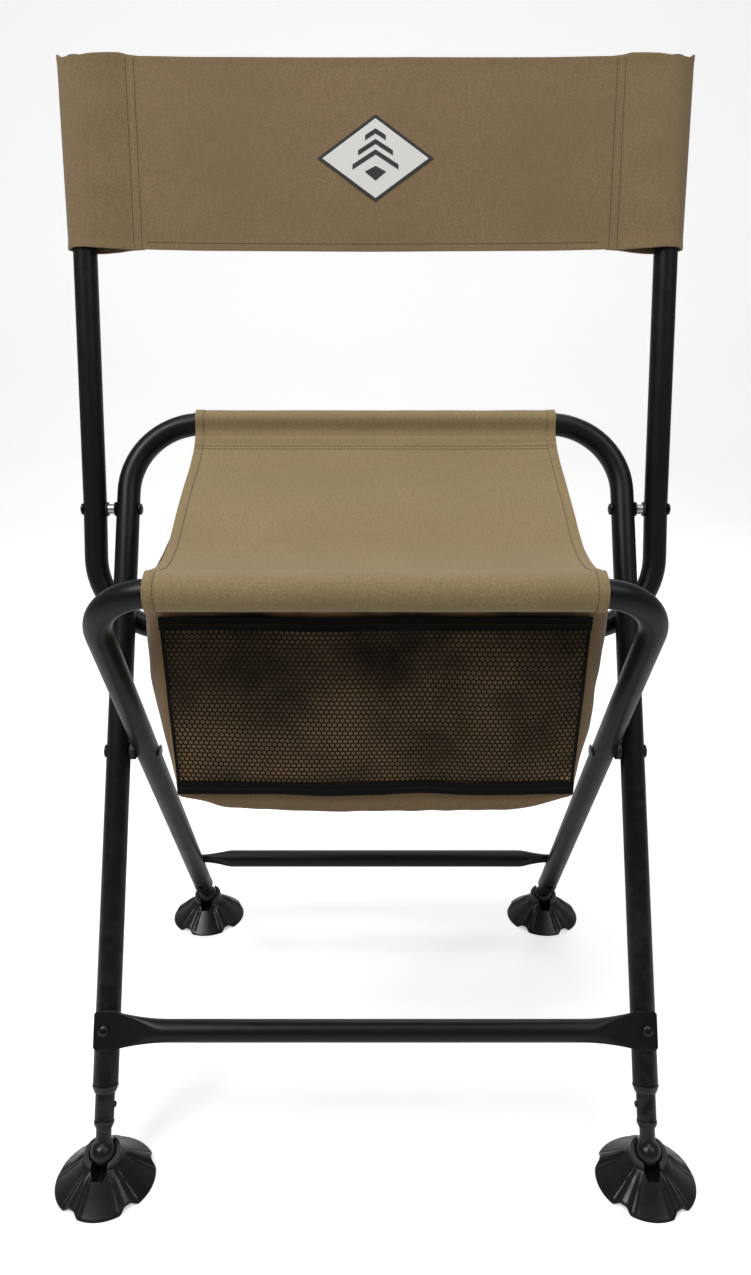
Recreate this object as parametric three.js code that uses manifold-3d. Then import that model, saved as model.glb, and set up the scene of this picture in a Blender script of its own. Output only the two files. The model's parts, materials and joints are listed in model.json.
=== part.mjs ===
// Folding sling chair for a hunting blind: three bent-tube frames that cross and fold on rivets,
// a sling seat, a fabric backrest, a storage bag under the seat, and four extending legs that end
// in wide feet on ball joints. Millimetres, +Z up, +Y towards the back of the chair, +X to the
// right seen from the front. The origin is on the ground, in the middle of the chair's footprint.

import * as THREE from "three";
import { mergeVertices } from "three/addons/utils/BufferGeometryUtils.js";
import Module from "manifold-3d";

const wasm = await Module();
wasm.setup();

const rad = THREE.MathUtils.degToRad;
const { lerp, smoothstep } = THREE.MathUtils;

// ---- Driving dimensions ----

const GAP = 0.3; // between any two pieces that touch on the real chair
const TUBE_R = 12.7; // one inch steel tube
const TUBE_WALL = 1.5;
const BEND_R = 80; // centre-line radius of the bends in the front-leg and backrest frames
const FRONT_BAR_BEND_R = 60; // and of those at the ends of the front seat bar

const PIVOT_Z = 392.7; // height of the leg pivot
const BALL_Z = 35; // height of the foot ball joints

const FRONT_LEAN = 27.66; // front-leg frame leans back going up, degrees from vertical
const FRONT_HALF_WIDTH = 276.35;
const PIVOT_TO_REAR_BAR = 368;
const PIVOT_TO_FRONT_BALL = (PIVOT_Z - BALL_Z) / Math.cos(rad(FRONT_LEAN));
const PIVOT_TO_BACK_PIVOT = 268.6;

const REAR_LEAN = 35.42; // rear-leg frame leans forward going up
const REAR_HALF_WIDTH = 245;
const PIVOT_TO_FRONT_BAR = 276;
const PIVOT_TO_REAR_BALL = (PIVOT_Z - BALL_Z) / Math.cos(rad(REAR_LEAN));

const BACK_LEAN = 11.58; // backrest uprights lean back
const BACK_HALF_WIDTH = 313.15;
const BACK_TOP = 464; // above the backrest pivot, along the upright
const BACK_KINK = 3.5; // the uprights bend forward by this much below the pivot
const BACK_BAR_DROP = 134; // from the backrest pivot down to the stop bar

const SLING_WIDTH = 402;
const SLEEVE_IN = TUBE_R + 0.6; // fabric sleeves round a tube
const SLEEVE_OUT = SLEEVE_IN + 1.8;
const SLING_SAG = 48;
const SLING_THICK = 2;

const COVER_BOTTOM = 276.7; // above the backrest pivot
const COVER_TOP = 470.2;
const COVER_SEAM_IN = 58; // from the upright's centre to the stitched edge of its pocket

// ---- Looks, for the viewer only ----

const PAINT = new THREE.MeshStandardMaterial({ color: 0x1c1d1f, roughness: 0.45, metalness: 0.4 });
const STEEL = new THREE.MeshStandardMaterial({ color: 0xb8bbbe, roughness: 0.3, metalness: 1 });
const ZINC_BLACK = new THREE.MeshStandardMaterial({ color: 0x2a2b2d, roughness: 0.3, metalness: 0.8 });
const PLASTIC = new THREE.MeshStandardMaterial({ color: 0x151617, roughness: 0.5, metalness: 0 });
const CANVAS = new THREE.MeshStandardMaterial({ color: 0x7b674a, roughness: 0.95, metalness: 0 });
const NETTING = new THREE.MeshStandardMaterial({ color: 0x2b2620, roughness: 0.9, metalness: 0 });

// ---- Solids ----

// A closed three.js geometry as a manifold-3d solid, with its shared vertices merged.
function solid(geometry) {
  const bare = geometry.clone();
  bare.deleteAttribute("normal");
  bare.deleteAttribute("uv");
  const merged = mergeVertices(bare, 1e-4);
  return new wasm.Manifold(
    new wasm.Mesh({
      numProp: 3,
      vertProperties: new Float32Array(merged.attributes.position.array),
      triVerts: new Uint32Array(merged.index.array),
    }),
  );
}

// A manifold-3d solid as a three.js geometry with flat-shaded normals.
function geometryOf(made) {
  const mesh = made.getMesh();
  const geometry = new THREE.BufferGeometry();
  geometry.setAttribute("position", new THREE.BufferAttribute(mesh.vertProperties, 3));
  geometry.setIndex(new THREE.BufferAttribute(mesh.triVerts, 1));
  geometry.computeVertexNormals();
  return geometry;
}

// A round bar between two distances along a direction, through a point.
function rod(radius, from, to, axis = "z", at = [0, 0, 0], segments = 16) {
  const geometry = new THREE.CylinderGeometry(radius, radius, to - from, segments);
  if (axis === "x") geometry.rotateZ(-Math.PI / 2);
  if (axis === "z") geometry.rotateX(Math.PI / 2);
  const centre = new THREE.Vector3(...at);
  centre[axis] += (from + to) / 2;
  geometry.translate(centre.x, centre.y, centre.z);
  return solid(geometry);
}

// A block given by its lowest and highest corners.
function block(low, high) {
  const size = high.map((value, i) => value - low[i]);
  const geometry = new THREE.BoxGeometry(...size);
  geometry.translate(...low.map((value, i) => value + size[i] / 2));
  return solid(geometry);
}

// A solid of revolution about Z from [radius, height] points, listed anticlockwise.
function turned(points, segments = 16) {
  const profile = points.map(([radius, height]) => new THREE.Vector2(radius, height));
  const geometry = new THREE.LatheGeometry(profile, segments);
  geometry.rotateX(Math.PI / 2);
  return solid(geometry);
}

// The points of an arc in a profile; without a centre it is on the axis of a solid of revolution.
function profileArc(radius, height, fromDegrees, toDegrees, steps, centre = 0) {
  const points = [];
  for (let i = 0; i <= steps; i++) {
    const angle = rad(lerp(fromDegrees, toDegrees, i / steps));
    const across = centre + Math.cos(angle) * radius;
    points.push([Math.abs(across) < 1e-6 ? 0 : across, height + Math.sin(angle) * radius]);
  }
  return points;
}

// A flat profile in the Y-Z plane, extruded along X and centred on it.
function acrossChair(outline, width, curveSegments = 8) {
  const geometry = new THREE.ExtrudeGeometry(outline, { depth: width, bevelEnabled: false, curveSegments });
  geometry.translate(0, 0, -width / 2);
  const axesToYZX = new THREE.Matrix4().set(0, 0, 1, 0, 1, 0, 0, 0, 0, 1, 0, 0, 0, 0, 0, 1);
  geometry.applyMatrix4(axesToYZX);
  return solid(geometry);
}

// Turns a piece made along Z to point along Y or X, with the sign of side.
function pointing(made, axis, side) {
  return axis === "y" ? made.rotate([-90 * side, 0, 0]) : made.rotate([0, 90 * side, 0]);
}

// ---- Bent tube ----

// A centre line through corners, each rounded to an arc. Its stations are the ends of the straight
// stretches and the points of the arcs, so an extrusion along it has no needless rings.
class BentPath extends THREE.Curve {
  constructor(corners, bendRadius, arcStep = 15) {
    super();
    this.stations = [];
    const last = corners.length - 1;
    const heading = (i) => corners[i + 1].clone().sub(corners[i]).normalize();
    this.stations.push({ point: corners[0], tangent: heading(0) });
    for (let i = 1; i < last; i++)
      this.addArc(corners[i], heading(i - 1), heading(i), bendRadius, rad(arcStep));
    this.stations.push({ point: corners[last], tangent: heading(last - 1) });
  }

  addArc(corner, before, after, radius, step) {
    const turn = before.angleTo(after);
    const setback = radius * Math.tan(turn / 2);
    const start = corner.clone().addScaledVector(before, -setback);
    const axis = before.clone().cross(after).normalize();
    const inward = axis.clone().cross(before);
    const centre = start.clone().addScaledVector(inward, radius);
    const pieces = Math.max(1, Math.round(turn / step));
    for (let k = 0; k <= pieces; k++) {
      const angle = (turn * k) / pieces;
      const point = start.clone().sub(centre).applyAxisAngle(axis, angle).add(centre);
      this.stations.push({ point, tangent: before.clone().applyAxisAngle(axis, angle) });
    }
  }

  get steps() {
    return this.stations.length - 1;
  }

  getPointAt(u, target = new THREE.Vector3()) {
    return target.copy(this.stations[Math.round(u * this.steps)].point);
  }

  getTangentAt(u, target = new THREE.Vector3()) {
    return target.copy(this.stations[Math.round(u * this.steps)].tangent);
  }
}

// A round section swept along a path; with an inner radius it is a tube that is open at both ends.
function sweep(path, radius, innerRadius = 0, segments = 16) {
  const turn = 2 * Math.PI;
  const section = new THREE.Shape().absarc(0, 0, radius, 0, turn);
  if (innerRadius > 0) section.holes.push(new THREE.Path().absarc(0, 0, innerRadius, 0, turn, true));
  const options = {
    extrudePath: path,
    steps: path.steps,
    curveSegments: segments / 2,
    bevelEnabled: false,
  };
  return solid(new THREE.ExtrudeGeometry(section, options));
}

// The centre line of a U frame in its own plane (X across, Z up the frame), from one foot to the other.
function hoopPath(halfWidth, bar, foot, bendRadius) {
  const corners = [
    [-halfWidth, 0, foot],
    [-halfWidth, 0, bar],
    [halfWidth, 0, bar],
    [halfWidth, 0, foot],
  ];
  return new BentPath(
    corners.map((corner) => new THREE.Vector3(...corner)),
    bendRadius,
  );
}

// ---- Scene graph ----

const ORIGIN_BEHIND_PIVOT = 31.81; // the middle of the footprint lies this far behind the leg pivot

const part = new THREE.Group();
const chair = new THREE.Group(); // everything, drawn with its Y zero at the leg pivot
chair.position.y = -ORIGIN_BEHIND_PIVOT;
part.add(chair);

const SIDES = [
  { name: "left", sign: -1 },
  { name: "right", sign: 1 },
];

function group(parent, x, y, z, leanDegrees = 0) {
  const made = new THREE.Group();
  made.position.set(x, y, z);
  made.rotation.x = rad(leanDegrees);
  parent.add(made);
  return made;
}

function add(parent, name, made, material) {
  const mesh = new THREE.Mesh(geometryOf(made), material);
  mesh.name = name;
  parent.add(mesh);
  return mesh;
}

const frontPlane = group(chair, 0, 0, PIVOT_Z, -FRONT_LEAN);
const rearPlane = group(chair, 0, 0, PIVOT_Z, REAR_LEAN);
const backPlane = group(
  chair,
  0,
  PIVOT_TO_BACK_PIVOT * Math.sin(rad(FRONT_LEAN)),
  PIVOT_Z + PIVOT_TO_BACK_PIVOT * Math.cos(rad(FRONT_LEAN)),
  -BACK_LEAN,
);

// ---- Tube frames ----

const PIVOT_BOLT_R = 4;
const BACK_BOLT_R = 3.3;
const FRONT_TUBE_END = 66; // of the outer tube, above the ball, along the leg
const REAR_TUBE_END = 44;
const LOCK_HEIGHT = 31; // of the lock button above the end of the outer tube
const HOLE_PITCH = 15; // one adjustment step of a leg
const LOCK_HOLE_R = 3.6;

const frontFoot = FRONT_TUBE_END - PIVOT_TO_FRONT_BALL;
const rearFoot = REAR_TUBE_END - PIVOT_TO_REAR_BALL;
const frontPath = hoopPath(FRONT_HALF_WIDTH, PIVOT_TO_REAR_BAR, frontFoot, BEND_R);
const rearPath = hoopPath(REAR_HALF_WIDTH, PIVOT_TO_FRONT_BAR, rearFoot, FRONT_BAR_BEND_R);

// A cutter for a hole in one wall of a leg; side is the wall's sign along Y of the frame's plane.
function wallHole(radius, halfWidth, z, side) {
  const reach = side * 2 * TUBE_R;
  return rod(radius, Math.min(0, reach), Math.max(0, reach), "y", [halfWidth, 0, z], 12);
}

// The lock holes of both legs: the one in use, and the one a step nearer to the tube's end.
function lockHoles(halfWidth, tubeEndZ, side) {
  return SIDES.flatMap(({ sign }) =>
    [LOCK_HEIGHT, LOCK_HEIGHT - HOLE_PITCH].map((height) =>
      wallHole(LOCK_HOLE_R, sign * halfWidth, tubeEndZ + height, side),
    ),
  );
}

// A hole of one radius across both legs of a hoop, square to them.
function crossHoles(halfWidth, z, radius) {
  return SIDES.map(({ sign }) =>
    rod(radius, sign * halfWidth - 2 * TUBE_R, sign * halfWidth + 2 * TUBE_R, "x", [0, 0, z], 12),
  );
}

function cutAll(made, cutters) {
  return cutters.reduce((left, cutter) => left.subtract(cutter), made);
}

const CROSSBAR_R = 11.25;
const FRONT_CROSSBAR_UP = 121; // above the front balls, along the leg
const REAR_CROSSBAR_UP = 100;
const PLATE_THICK = 3.5;
const SCREW_R = 2.6;

// The holes for the crossbar screws in one wall of both legs.
function screwHoles(halfWidth, z, side) {
  return SIDES.map(({ sign }) => wallHole(SCREW_R + GAP, sign * halfWidth, z, side));
}

const frontCrossbarZ = FRONT_CROSSBAR_UP - PIVOT_TO_FRONT_BALL;
const rearCrossbarZ = REAR_CROSSBAR_UP - PIVOT_TO_REAR_BALL;

add(
  frontPlane,
  "front_leg_frame",
  cutAll(sweep(frontPath, TUBE_R, TUBE_R - TUBE_WALL), [
    ...crossHoles(FRONT_HALF_WIDTH, 0, PIVOT_BOLT_R + GAP),
    ...crossHoles(FRONT_HALF_WIDTH, PIVOT_TO_BACK_PIVOT, BACK_BOLT_R + GAP),
    ...lockHoles(FRONT_HALF_WIDTH, FRONT_TUBE_END - PIVOT_TO_FRONT_BALL, 1),
    ...screwHoles(FRONT_HALF_WIDTH, frontCrossbarZ, -1),
  ]),
  PAINT,
);
add(
  rearPlane,
  "rear_leg_frame",
  cutAll(sweep(rearPath, TUBE_R, TUBE_R - TUBE_WALL), [
    ...crossHoles(REAR_HALF_WIDTH, 0, PIVOT_BOLT_R + GAP),
    ...lockHoles(REAR_HALF_WIDTH, REAR_TUBE_END - PIVOT_TO_REAR_BALL, -1),
    ...screwHoles(REAR_HALF_WIDTH, rearCrossbarZ, 1),
  ]),
  PAINT,
);

// The backrest frame: two uprights that kink forward below their pivot and join in a stop bar,
// which rests on the back of the front-leg frame.
const kinkY = -BACK_BAR_DROP * Math.sin(rad(BACK_KINK));
const kinkZ = -BACK_BAR_DROP * Math.cos(rad(BACK_KINK));
const backPath = new BentPath(
  [
    new THREE.Vector3(-BACK_HALF_WIDTH, 0, BACK_TOP),
    new THREE.Vector3(-BACK_HALF_WIDTH, 0, 0),
    new THREE.Vector3(-BACK_HALF_WIDTH, kinkY, kinkZ),
    new THREE.Vector3(BACK_HALF_WIDTH, kinkY, kinkZ),
    new THREE.Vector3(BACK_HALF_WIDTH, 0, 0),
    new THREE.Vector3(BACK_HALF_WIDTH, 0, BACK_TOP),
  ],
  BEND_R,
);
add(
  backPlane,
  "backrest_frame",
  cutAll(sweep(backPath, TUBE_R, TUBE_R - TUBE_WALL), crossHoles(BACK_HALF_WIDTH, 0, BACK_BOLT_R + GAP)),
  PAINT,
);

// ---- Pivots ----

// A shaft along X between two faces, with a domed head against each.
function rivet(shaftR, headR, headHeight, from, to) {
  const rim = 1.1; // straight edge of the head below its dome
  const quarter = profileArc(1, 0, 0, 90, 3);
  const dome = quarter.map(([across, up]) => [across * headR, rim + up * (headHeight - rim)]);
  const head = turned([[0, 0], [headR, 0], ...dome], 12);
  const shaft = rod(shaftR, from - 0.2, to + 0.2, "x", [0, 0, 0], 12);
  const upper = pointing(head, "x", 1).translate([to, 0, 0]);
  const lower = pointing(head, "x", -1).translate([from, 0, 0]);
  return shaft.add(upper).add(lower);
}

// A flat ring round the X axis.
function ringX(innerR, outerR, from, to) {
  return rod(outerR, from, to, "x").subtract(rod(innerR, from - 1, to + 1, "x", [0, 0, 0], 12));
}

const BACK_WASHER_THICK = 1.6;
const frontOuterFace = FRONT_HALF_WIDTH + TUBE_R;
const frontInnerFace = FRONT_HALF_WIDTH - TUBE_R;
const rearOuterFace = REAR_HALF_WIDTH + TUBE_R;
const rearInnerFace = REAR_HALF_WIDTH - TUBE_R;
const backInnerFace = BACK_HALF_WIDTH - TUBE_R;
const backOuterFace = BACK_HALF_WIDTH + TUBE_R;

// Turns a piece that was made for the right-hand side into the one for either side.
function onSide(sign, made) {
  return sign > 0 ? made : made.mirror([1, 0, 0]);
}

for (const { name, sign } of SIDES) {
  const pivotRivet = rivet(PIVOT_BOLT_R, 8, 3.4, rearInnerFace - GAP, frontOuterFace + GAP);
  add(frontPlane, `leg_pivot_rivet_${name}`, onSide(sign, pivotRivet), STEEL);
  const pivotSpacer = ringX(PIVOT_BOLT_R + GAP, 9, rearOuterFace + GAP, frontInnerFace - GAP);
  add(frontPlane, `leg_pivot_spacer_${name}`, onSide(sign, pivotSpacer), PLASTIC);

  const backAxis = group(frontPlane, 0, 0, PIVOT_TO_BACK_PIVOT);
  const backRivet = rivet(BACK_BOLT_R, 6.5, 3.2, frontInnerFace - GAP, backOuterFace + GAP);
  add(backAxis, `backrest_pivot_rivet_${name}`, onSide(sign, backRivet), ZINC_BLACK);
  const innerWasherEnd = frontOuterFace + GAP + BACK_WASHER_THICK;
  const outerWasherStart = backInnerFace - GAP - BACK_WASHER_THICK;
  const bore = BACK_BOLT_R + GAP;
  const innerWasher = ringX(bore, 8, frontOuterFace + GAP, innerWasherEnd);
  add(backAxis, `backrest_inner_washer_${name}`, onSide(sign, innerWasher), PLASTIC);
  const outerWasher = ringX(bore, 8, outerWasherStart, backInnerFace - GAP);
  add(backAxis, `backrest_outer_washer_${name}`, onSide(sign, outerWasher), PLASTIC);
  const sleeve = ringX(bore, 5.6, innerWasherEnd + GAP, outerWasherStart - GAP);
  add(backAxis, `backrest_pivot_sleeve_${name}`, onSide(sign, sleeve), STEEL);
}

// ---- Upright end caps ----

const CAP_RIM = 2.6;
const CAP_PLUG = 14;
for (const { name, sign } of SIDES) {
  const plugR = TUBE_R - TUBE_WALL - GAP;
  const cap = turned([
    [0, -CAP_PLUG],
    [plugR, -CAP_PLUG],
    [plugR, GAP],
    [TUBE_R, GAP],
    [TUBE_R, GAP + CAP_RIM * 0.5],
    [TUBE_R - 2, GAP + CAP_RIM],
    [0, GAP + CAP_RIM],
  ]);
  add(group(backPlane, sign * BACK_HALF_WIDTH, 0, BACK_TOP), `upright_cap_${name}`, cap, PLASTIC);
}

// ---- Crossbars: round tube, pressed flat at both ends and screwed to the legs ----

// halfSpan is the distance to the leg's centre; the end plate is centred on it.
function crossbar(halfSpan, plateHalfHeight, flare) {
  const plateHalfWidth = 12.5;
  const halfLength = halfSpan + plateHalfWidth;
  const rings = 22;
  const geometry = new THREE.CylinderGeometry(CROSSBAR_R, CROSSBAR_R, 2 * halfLength, 16, rings);
  geometry.rotateZ(-Math.PI / 2);
  const position = geometry.attributes.position;
  for (let i = 0; i < position.count; i++) {
    // the rings crowd towards the ends, where the section changes
    const x = halfLength * Math.sin(((position.getX(i) / halfLength) * Math.PI) / 2);
    position.setX(i, x);
    const fromEnd = halfLength - Math.abs(x);
    const pressed = 1 - smoothstep(fromEnd, 2 * plateHalfWidth + 1, 2 * plateHalfWidth + flare);
    const angle = Math.atan2(position.getZ(i), position.getY(i));
    const onCircle = Math.hypot(position.getZ(i), position.getY(i)) / CROSSBAR_R;
    const squareness = lerp(1, 0.25, pressed);
    const squared = (value) =>
      Math.abs(value) < 1e-6 ? 0 : Math.sign(value) * Math.abs(value) ** squareness;
    const tipRound = 1 - 0.12 * (1 - smoothstep(fromEnd, 0, 5)) * pressed;
    const halfY = lerp(CROSSBAR_R, PLATE_THICK / 2, pressed);
    const halfZ = lerp(CROSSBAR_R, plateHalfHeight, pressed) * tipRound;
    position.setY(i, onCircle * squared(Math.cos(angle)) * halfY);
    position.setZ(i, onCircle * squared(Math.sin(angle)) * halfZ);
  }
  return solid(geometry);
}

// A short dome-headed screw along Y, its head at positive Y; the tip stays clear of the inner tube.
const SCREW_HEAD_R = 6;
const SCREW_HEAD_HEIGHT = 3.4;
const RECESS = { width: 1.1, length: 5.2, depth: 1.6 };
const EXTENSION_R = 9.65;
function screw(headSeat) {
  const top = headSeat + SCREW_HEAD_HEIGHT;
  const head = turned([
    [0, headSeat],
    [SCREW_HEAD_R, headSeat],
    [SCREW_HEAD_R, headSeat + 0.8],
    [SCREW_HEAD_R * 0.8, headSeat + 2.4],
    [SCREW_HEAD_R * 0.4, top - 0.2],
    [0, top],
  ]);
  const shank = rod(SCREW_R, EXTENSION_R + 0.4, headSeat + 0.2, "z", [0, 0, 0], 12);
  const { width, length, depth } = RECESS;
  const bar = block([-width / 2, -length / 2, top - depth], [width / 2, length / 2, top + depth]);
  const recesses = [45, -45].map((turnDegrees) => bar.rotate([0, 0, turnDegrees]));
  return pointing(cutAll(head.add(shank), recesses), "y", 1);
}

const plateY = TUBE_R + GAP + PLATE_THICK / 2;
const CROSSBARS = [
  {
    name: "front",
    plane: frontPlane,
    half: FRONT_HALF_WIDTH,
    z: frontCrossbarZ,
    side: -1,
    plate: 19.5,
    flare: 62,
  },
  {
    name: "rear",
    plane: rearPlane,
    half: REAR_HALF_WIDTH,
    z: rearCrossbarZ,
    side: 1,
    plate: 11.5,
    flare: 46,
  },
];
for (const bar of CROSSBARS) {
  const holder = group(bar.plane, 0, 0, bar.z);
  const holes = SIDES.map(({ sign }) => wallHole(SCREW_R + GAP, sign * bar.half, 0, 1));
  const made = cutAll(crossbar(bar.half, bar.plate, bar.flare).translate([0, plateY, 0]), holes);
  const facing = bar.side > 0 ? made : made.mirror([0, 1, 0]);
  add(holder, `${bar.name}_crossbar`, facing, PAINT);
  for (const { name, sign } of SIDES) {
    const placed = screw(plateY + PLATE_THICK / 2 + GAP);
    const turnedScrew = bar.side > 0 ? placed : placed.mirror([0, 1, 0]);
    add(group(holder, sign * bar.half, 0, 0), `${bar.name}_crossbar_screw_${name}`, turnedScrew, ZINC_BLACK);
  }
}

// ---- Legs below the outer tubes ----

const BALL_R = 13.2;
const STEM_R = 7.65;
const COLLAR_TOP = 31; // above the ball centre
const PLUG_TOP = 58;
const PLUG_R = 8.1;
const EXTENSION_WALL = 1.2;
const EXTENSION_INSIDE = 60; // length of extension tube inside the outer tube
const BUTTON_R = 3.1;
const BUTTON_HOLE_R = BUTTON_R + 0.4;
const STUD_POCKET_FLOOR = 1.4; // from the stem's centre line
const STUD_BUTTON_UP = 46;
const LOCK_PROUD = 2;
const STUD_PROUD = 2.4;

// Distances from the tube's centre line, along the button.
const LOCK_BUTTON = { base: 5.4, flangeTop: 6.6, flangeR: 4.4, top: TUBE_R + LOCK_PROUD };
const STUD_BUTTON = { base: 4.6, flangeTop: 5, flangeR: BUTTON_R + 0.05, top: EXTENSION_R + STUD_PROUD };

// A spring button along Z: a pin with a domed end, and a flange that stays under the wall.
function button({ base, flangeTop, flangeR, top }) {
  const profile = [
    [0, base],
    [flangeR, base],
    [flangeR, flangeTop],
    [BUTTON_R, flangeTop],
    [BUTTON_R, top - 1.8],
    [BUTTON_R - 1.1, top - 0.4],
    [0, top],
  ];
  return turned(profile, 12);
}

// near and far are where the two leaves lie, along the button from the tube's centre line.
const SPRING = { near: 5, far: -7.6, leaf: 0.8, width: 5, height: 24, bend: 2, foot: 5 };

// A V of thin spring leaf inside the extension tube, wide along X: one leaf presses under the
// button, the other lies on the far wall. It is made for a button at +Y and at height 0.
function leafSpring() {
  const { near, far, leaf, width, height, bend, foot } = SPRING;
  const outline = new THREE.Shape();
  outline.moveTo(near, -foot);
  outline.lineTo(near, foot);
  outline.quadraticCurveTo(near, height - bend, 0, height);
  outline.quadraticCurveTo(far, height - bend, far, 2 * foot);
  outline.lineTo(far, 0);
  outline.lineTo(far + leaf, 0);
  outline.lineTo(far + leaf, 2 * foot);
  outline.quadraticCurveTo(far + leaf, height - bend - leaf, 0, height - leaf);
  outline.quadraticCurveTo(near - leaf, height - bend - leaf, near - leaf, foot);
  outline.lineTo(near - leaf, -foot);
  outline.closePath();
  return acrossChair(outline, width, 4);
}

// The stem that plugs into the extension tube and ends in the ball.
function ballStud(buttonSide) {
  const neck = Math.acos(STEM_R / BALL_R) * THREE.MathUtils.RAD2DEG;
  const stem = [
    ...profileArc(BALL_R, 0, -90, neck, 6),
    [STEM_R, COLLAR_TOP - 8],
    [EXTENSION_R, COLLAR_TOP - 4],
    [EXTENSION_R + 0.5, COLLAR_TOP - 2.6],
    [EXTENSION_R + 0.5, COLLAR_TOP],
    [PLUG_R, COLLAR_TOP],
    [PLUG_R, PLUG_TOP],
    [0, PLUG_TOP],
  ];
  const made = turned(stem);
  if (!buttonSide) return made;
  const pocket = rod(BUTTON_HOLE_R, STUD_POCKET_FLOOR, 2 * PLUG_R, "z", [0, 0, 0], 12);
  return made.subtract(pointing(pocket, "x", buttonSide).translate([0, 0, STUD_BUTTON_UP]));
}

// The extension tube, with the ball centre at height 0.
function extension(tubeEnd, lockSide, studSide) {
  const bottom = COLLAR_TOP + GAP;
  const top = tubeEnd + EXTENSION_INSIDE;
  const bore = rod(EXTENSION_R - EXTENSION_WALL, bottom - 1, top + 1);
  const tube = rod(EXTENSION_R, bottom, top).subtract(bore);
  const hole = rod(BUTTON_HOLE_R, 0, 2 * EXTENSION_R, "z", [0, 0, 0], 12);
  const lockHole = pointing(hole, "y", lockSide).translate([0, 0, tubeEnd + LOCK_HEIGHT]);
  const drilled = tube.subtract(lockHole);
  if (!studSide) return drilled;
  return drilled.subtract(pointing(hole, "x", studSide).translate([0, 0, STUD_BUTTON_UP]));
}

const FERRULE_LIP = 8; // below the end of the outer tube
const FERRULE_PLUG = 10; // inside it

// The plastic guide in the end of the outer tube, with a tapered lip below it; the end is height 0.
function ferrule() {
  const bore = EXTENSION_R + GAP;
  const plug = TUBE_R - TUBE_WALL - GAP;
  const lip = TUBE_R + 0.4;
  return turned([
    [bore, -FERRULE_LIP],
    [bore + 0.8, -FERRULE_LIP],
    [lip, -2],
    [lip, -GAP],
    [plug, -GAP],
    [plug, FERRULE_PLUG],
    [bore, FERRULE_PLUG],
    [bore, -FERRULE_LIP],
  ]);
}

// ---- Foot pads ----

const PAD_R = 50;
const PAD_FLAT_R = 43; // inner radius of the flat rim that stands on the ground
const PETALS = 5;
const RIB_DRAW_IN = 4; // how far the rim draws in at the rib between two petals
const RIB_RISE = 5; // height of that rib at the rim
const PAD_RIM = 2.6; // height of the rim's edge
const CUP_R = 18.5;
const CUP_TOP = 6.6; // above the ball centre
const WINDOW_SILL = 18; // above the ground, at the front of the cup, where the slot runs deeper
const SOCKET_CLEAR = 0.9; // over the ball's radius, so that the facets of both stay apart as it turns

// The wide foot: a shallow cone of broad petals with a rib between each two, and a slotted cup
// that holds the ball. One petal points to -Y. The ball centre is the origin, the ground is
// BALL_Z below, and the slot runs along Y.
function footPad() {
  const ground = -BALL_Z;
  const roof = ground + 16; // underside of the cone's middle
  const skin = [
    [0, roof],
    [CUP_R - 3, roof],
    [30, roof - 4],
    [PAD_FLAT_R, ground],
    [PAD_R, ground],
    [PAD_R, ground + PAD_RIM],
    [38, ground + 11.6],
    [26, ground + 22.4],
    [CUP_R + 1.5, ground + 27.6],
    [CUP_R - 1, ground + 29],
    [0, ground + 29],
  ];
  const profile = skin.map(([radius, height]) => new THREE.Vector2(radius, height));
  const geometry = new THREE.LatheGeometry(profile, 6 * PETALS);
  geometry.rotateX(Math.PI / 2);
  const position = geometry.attributes.position;
  for (let i = 0; i < position.count; i++) {
    const x = position.getX(i);
    const y = position.getY(i);
    const z = position.getZ(i);
    const outward = smoothstep(Math.hypot(x, y), CUP_R, PAD_R);
    const rib = ((1 - Math.cos(PETALS * Math.atan2(x, -y))) / 2) ** 2;
    const stretch = 1 - (outward * rib * RIB_DRAW_IN) / PAD_R;
    const rise = z > ground + 1 ? outward * rib * RIB_RISE : 0;
    position.setXYZ(i, x * stretch, y * stretch, z + rise);
  }
  const cup = turned([
    [0, roof],
    [CUP_R, roof],
    [CUP_R, 2],
    [CUP_R - 2.4, CUP_TOP],
    [0, CUP_TOP],
  ]);
  const socket = turned(profileArc(BALL_R + SOCKET_CLEAR, 0, -90, 90, 8));
  const slotHalf = STEM_R + 0.5;
  const slot = block([-slotHalf, -2 * CUP_R, -1.5], [slotHalf, 2 * CUP_R, BALL_R]);
  const window = block([-slotHalf, -1.25 * CUP_R, WINDOW_SILL - BALL_Z], [slotHalf, -BALL_R / 2, 0]);
  const mouth = rod(slotHalf + 1.6, 0, 2 * BALL_R);
  return cutAll(solid(geometry).add(cup), [socket, slot, window, mouth]);
}

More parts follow.
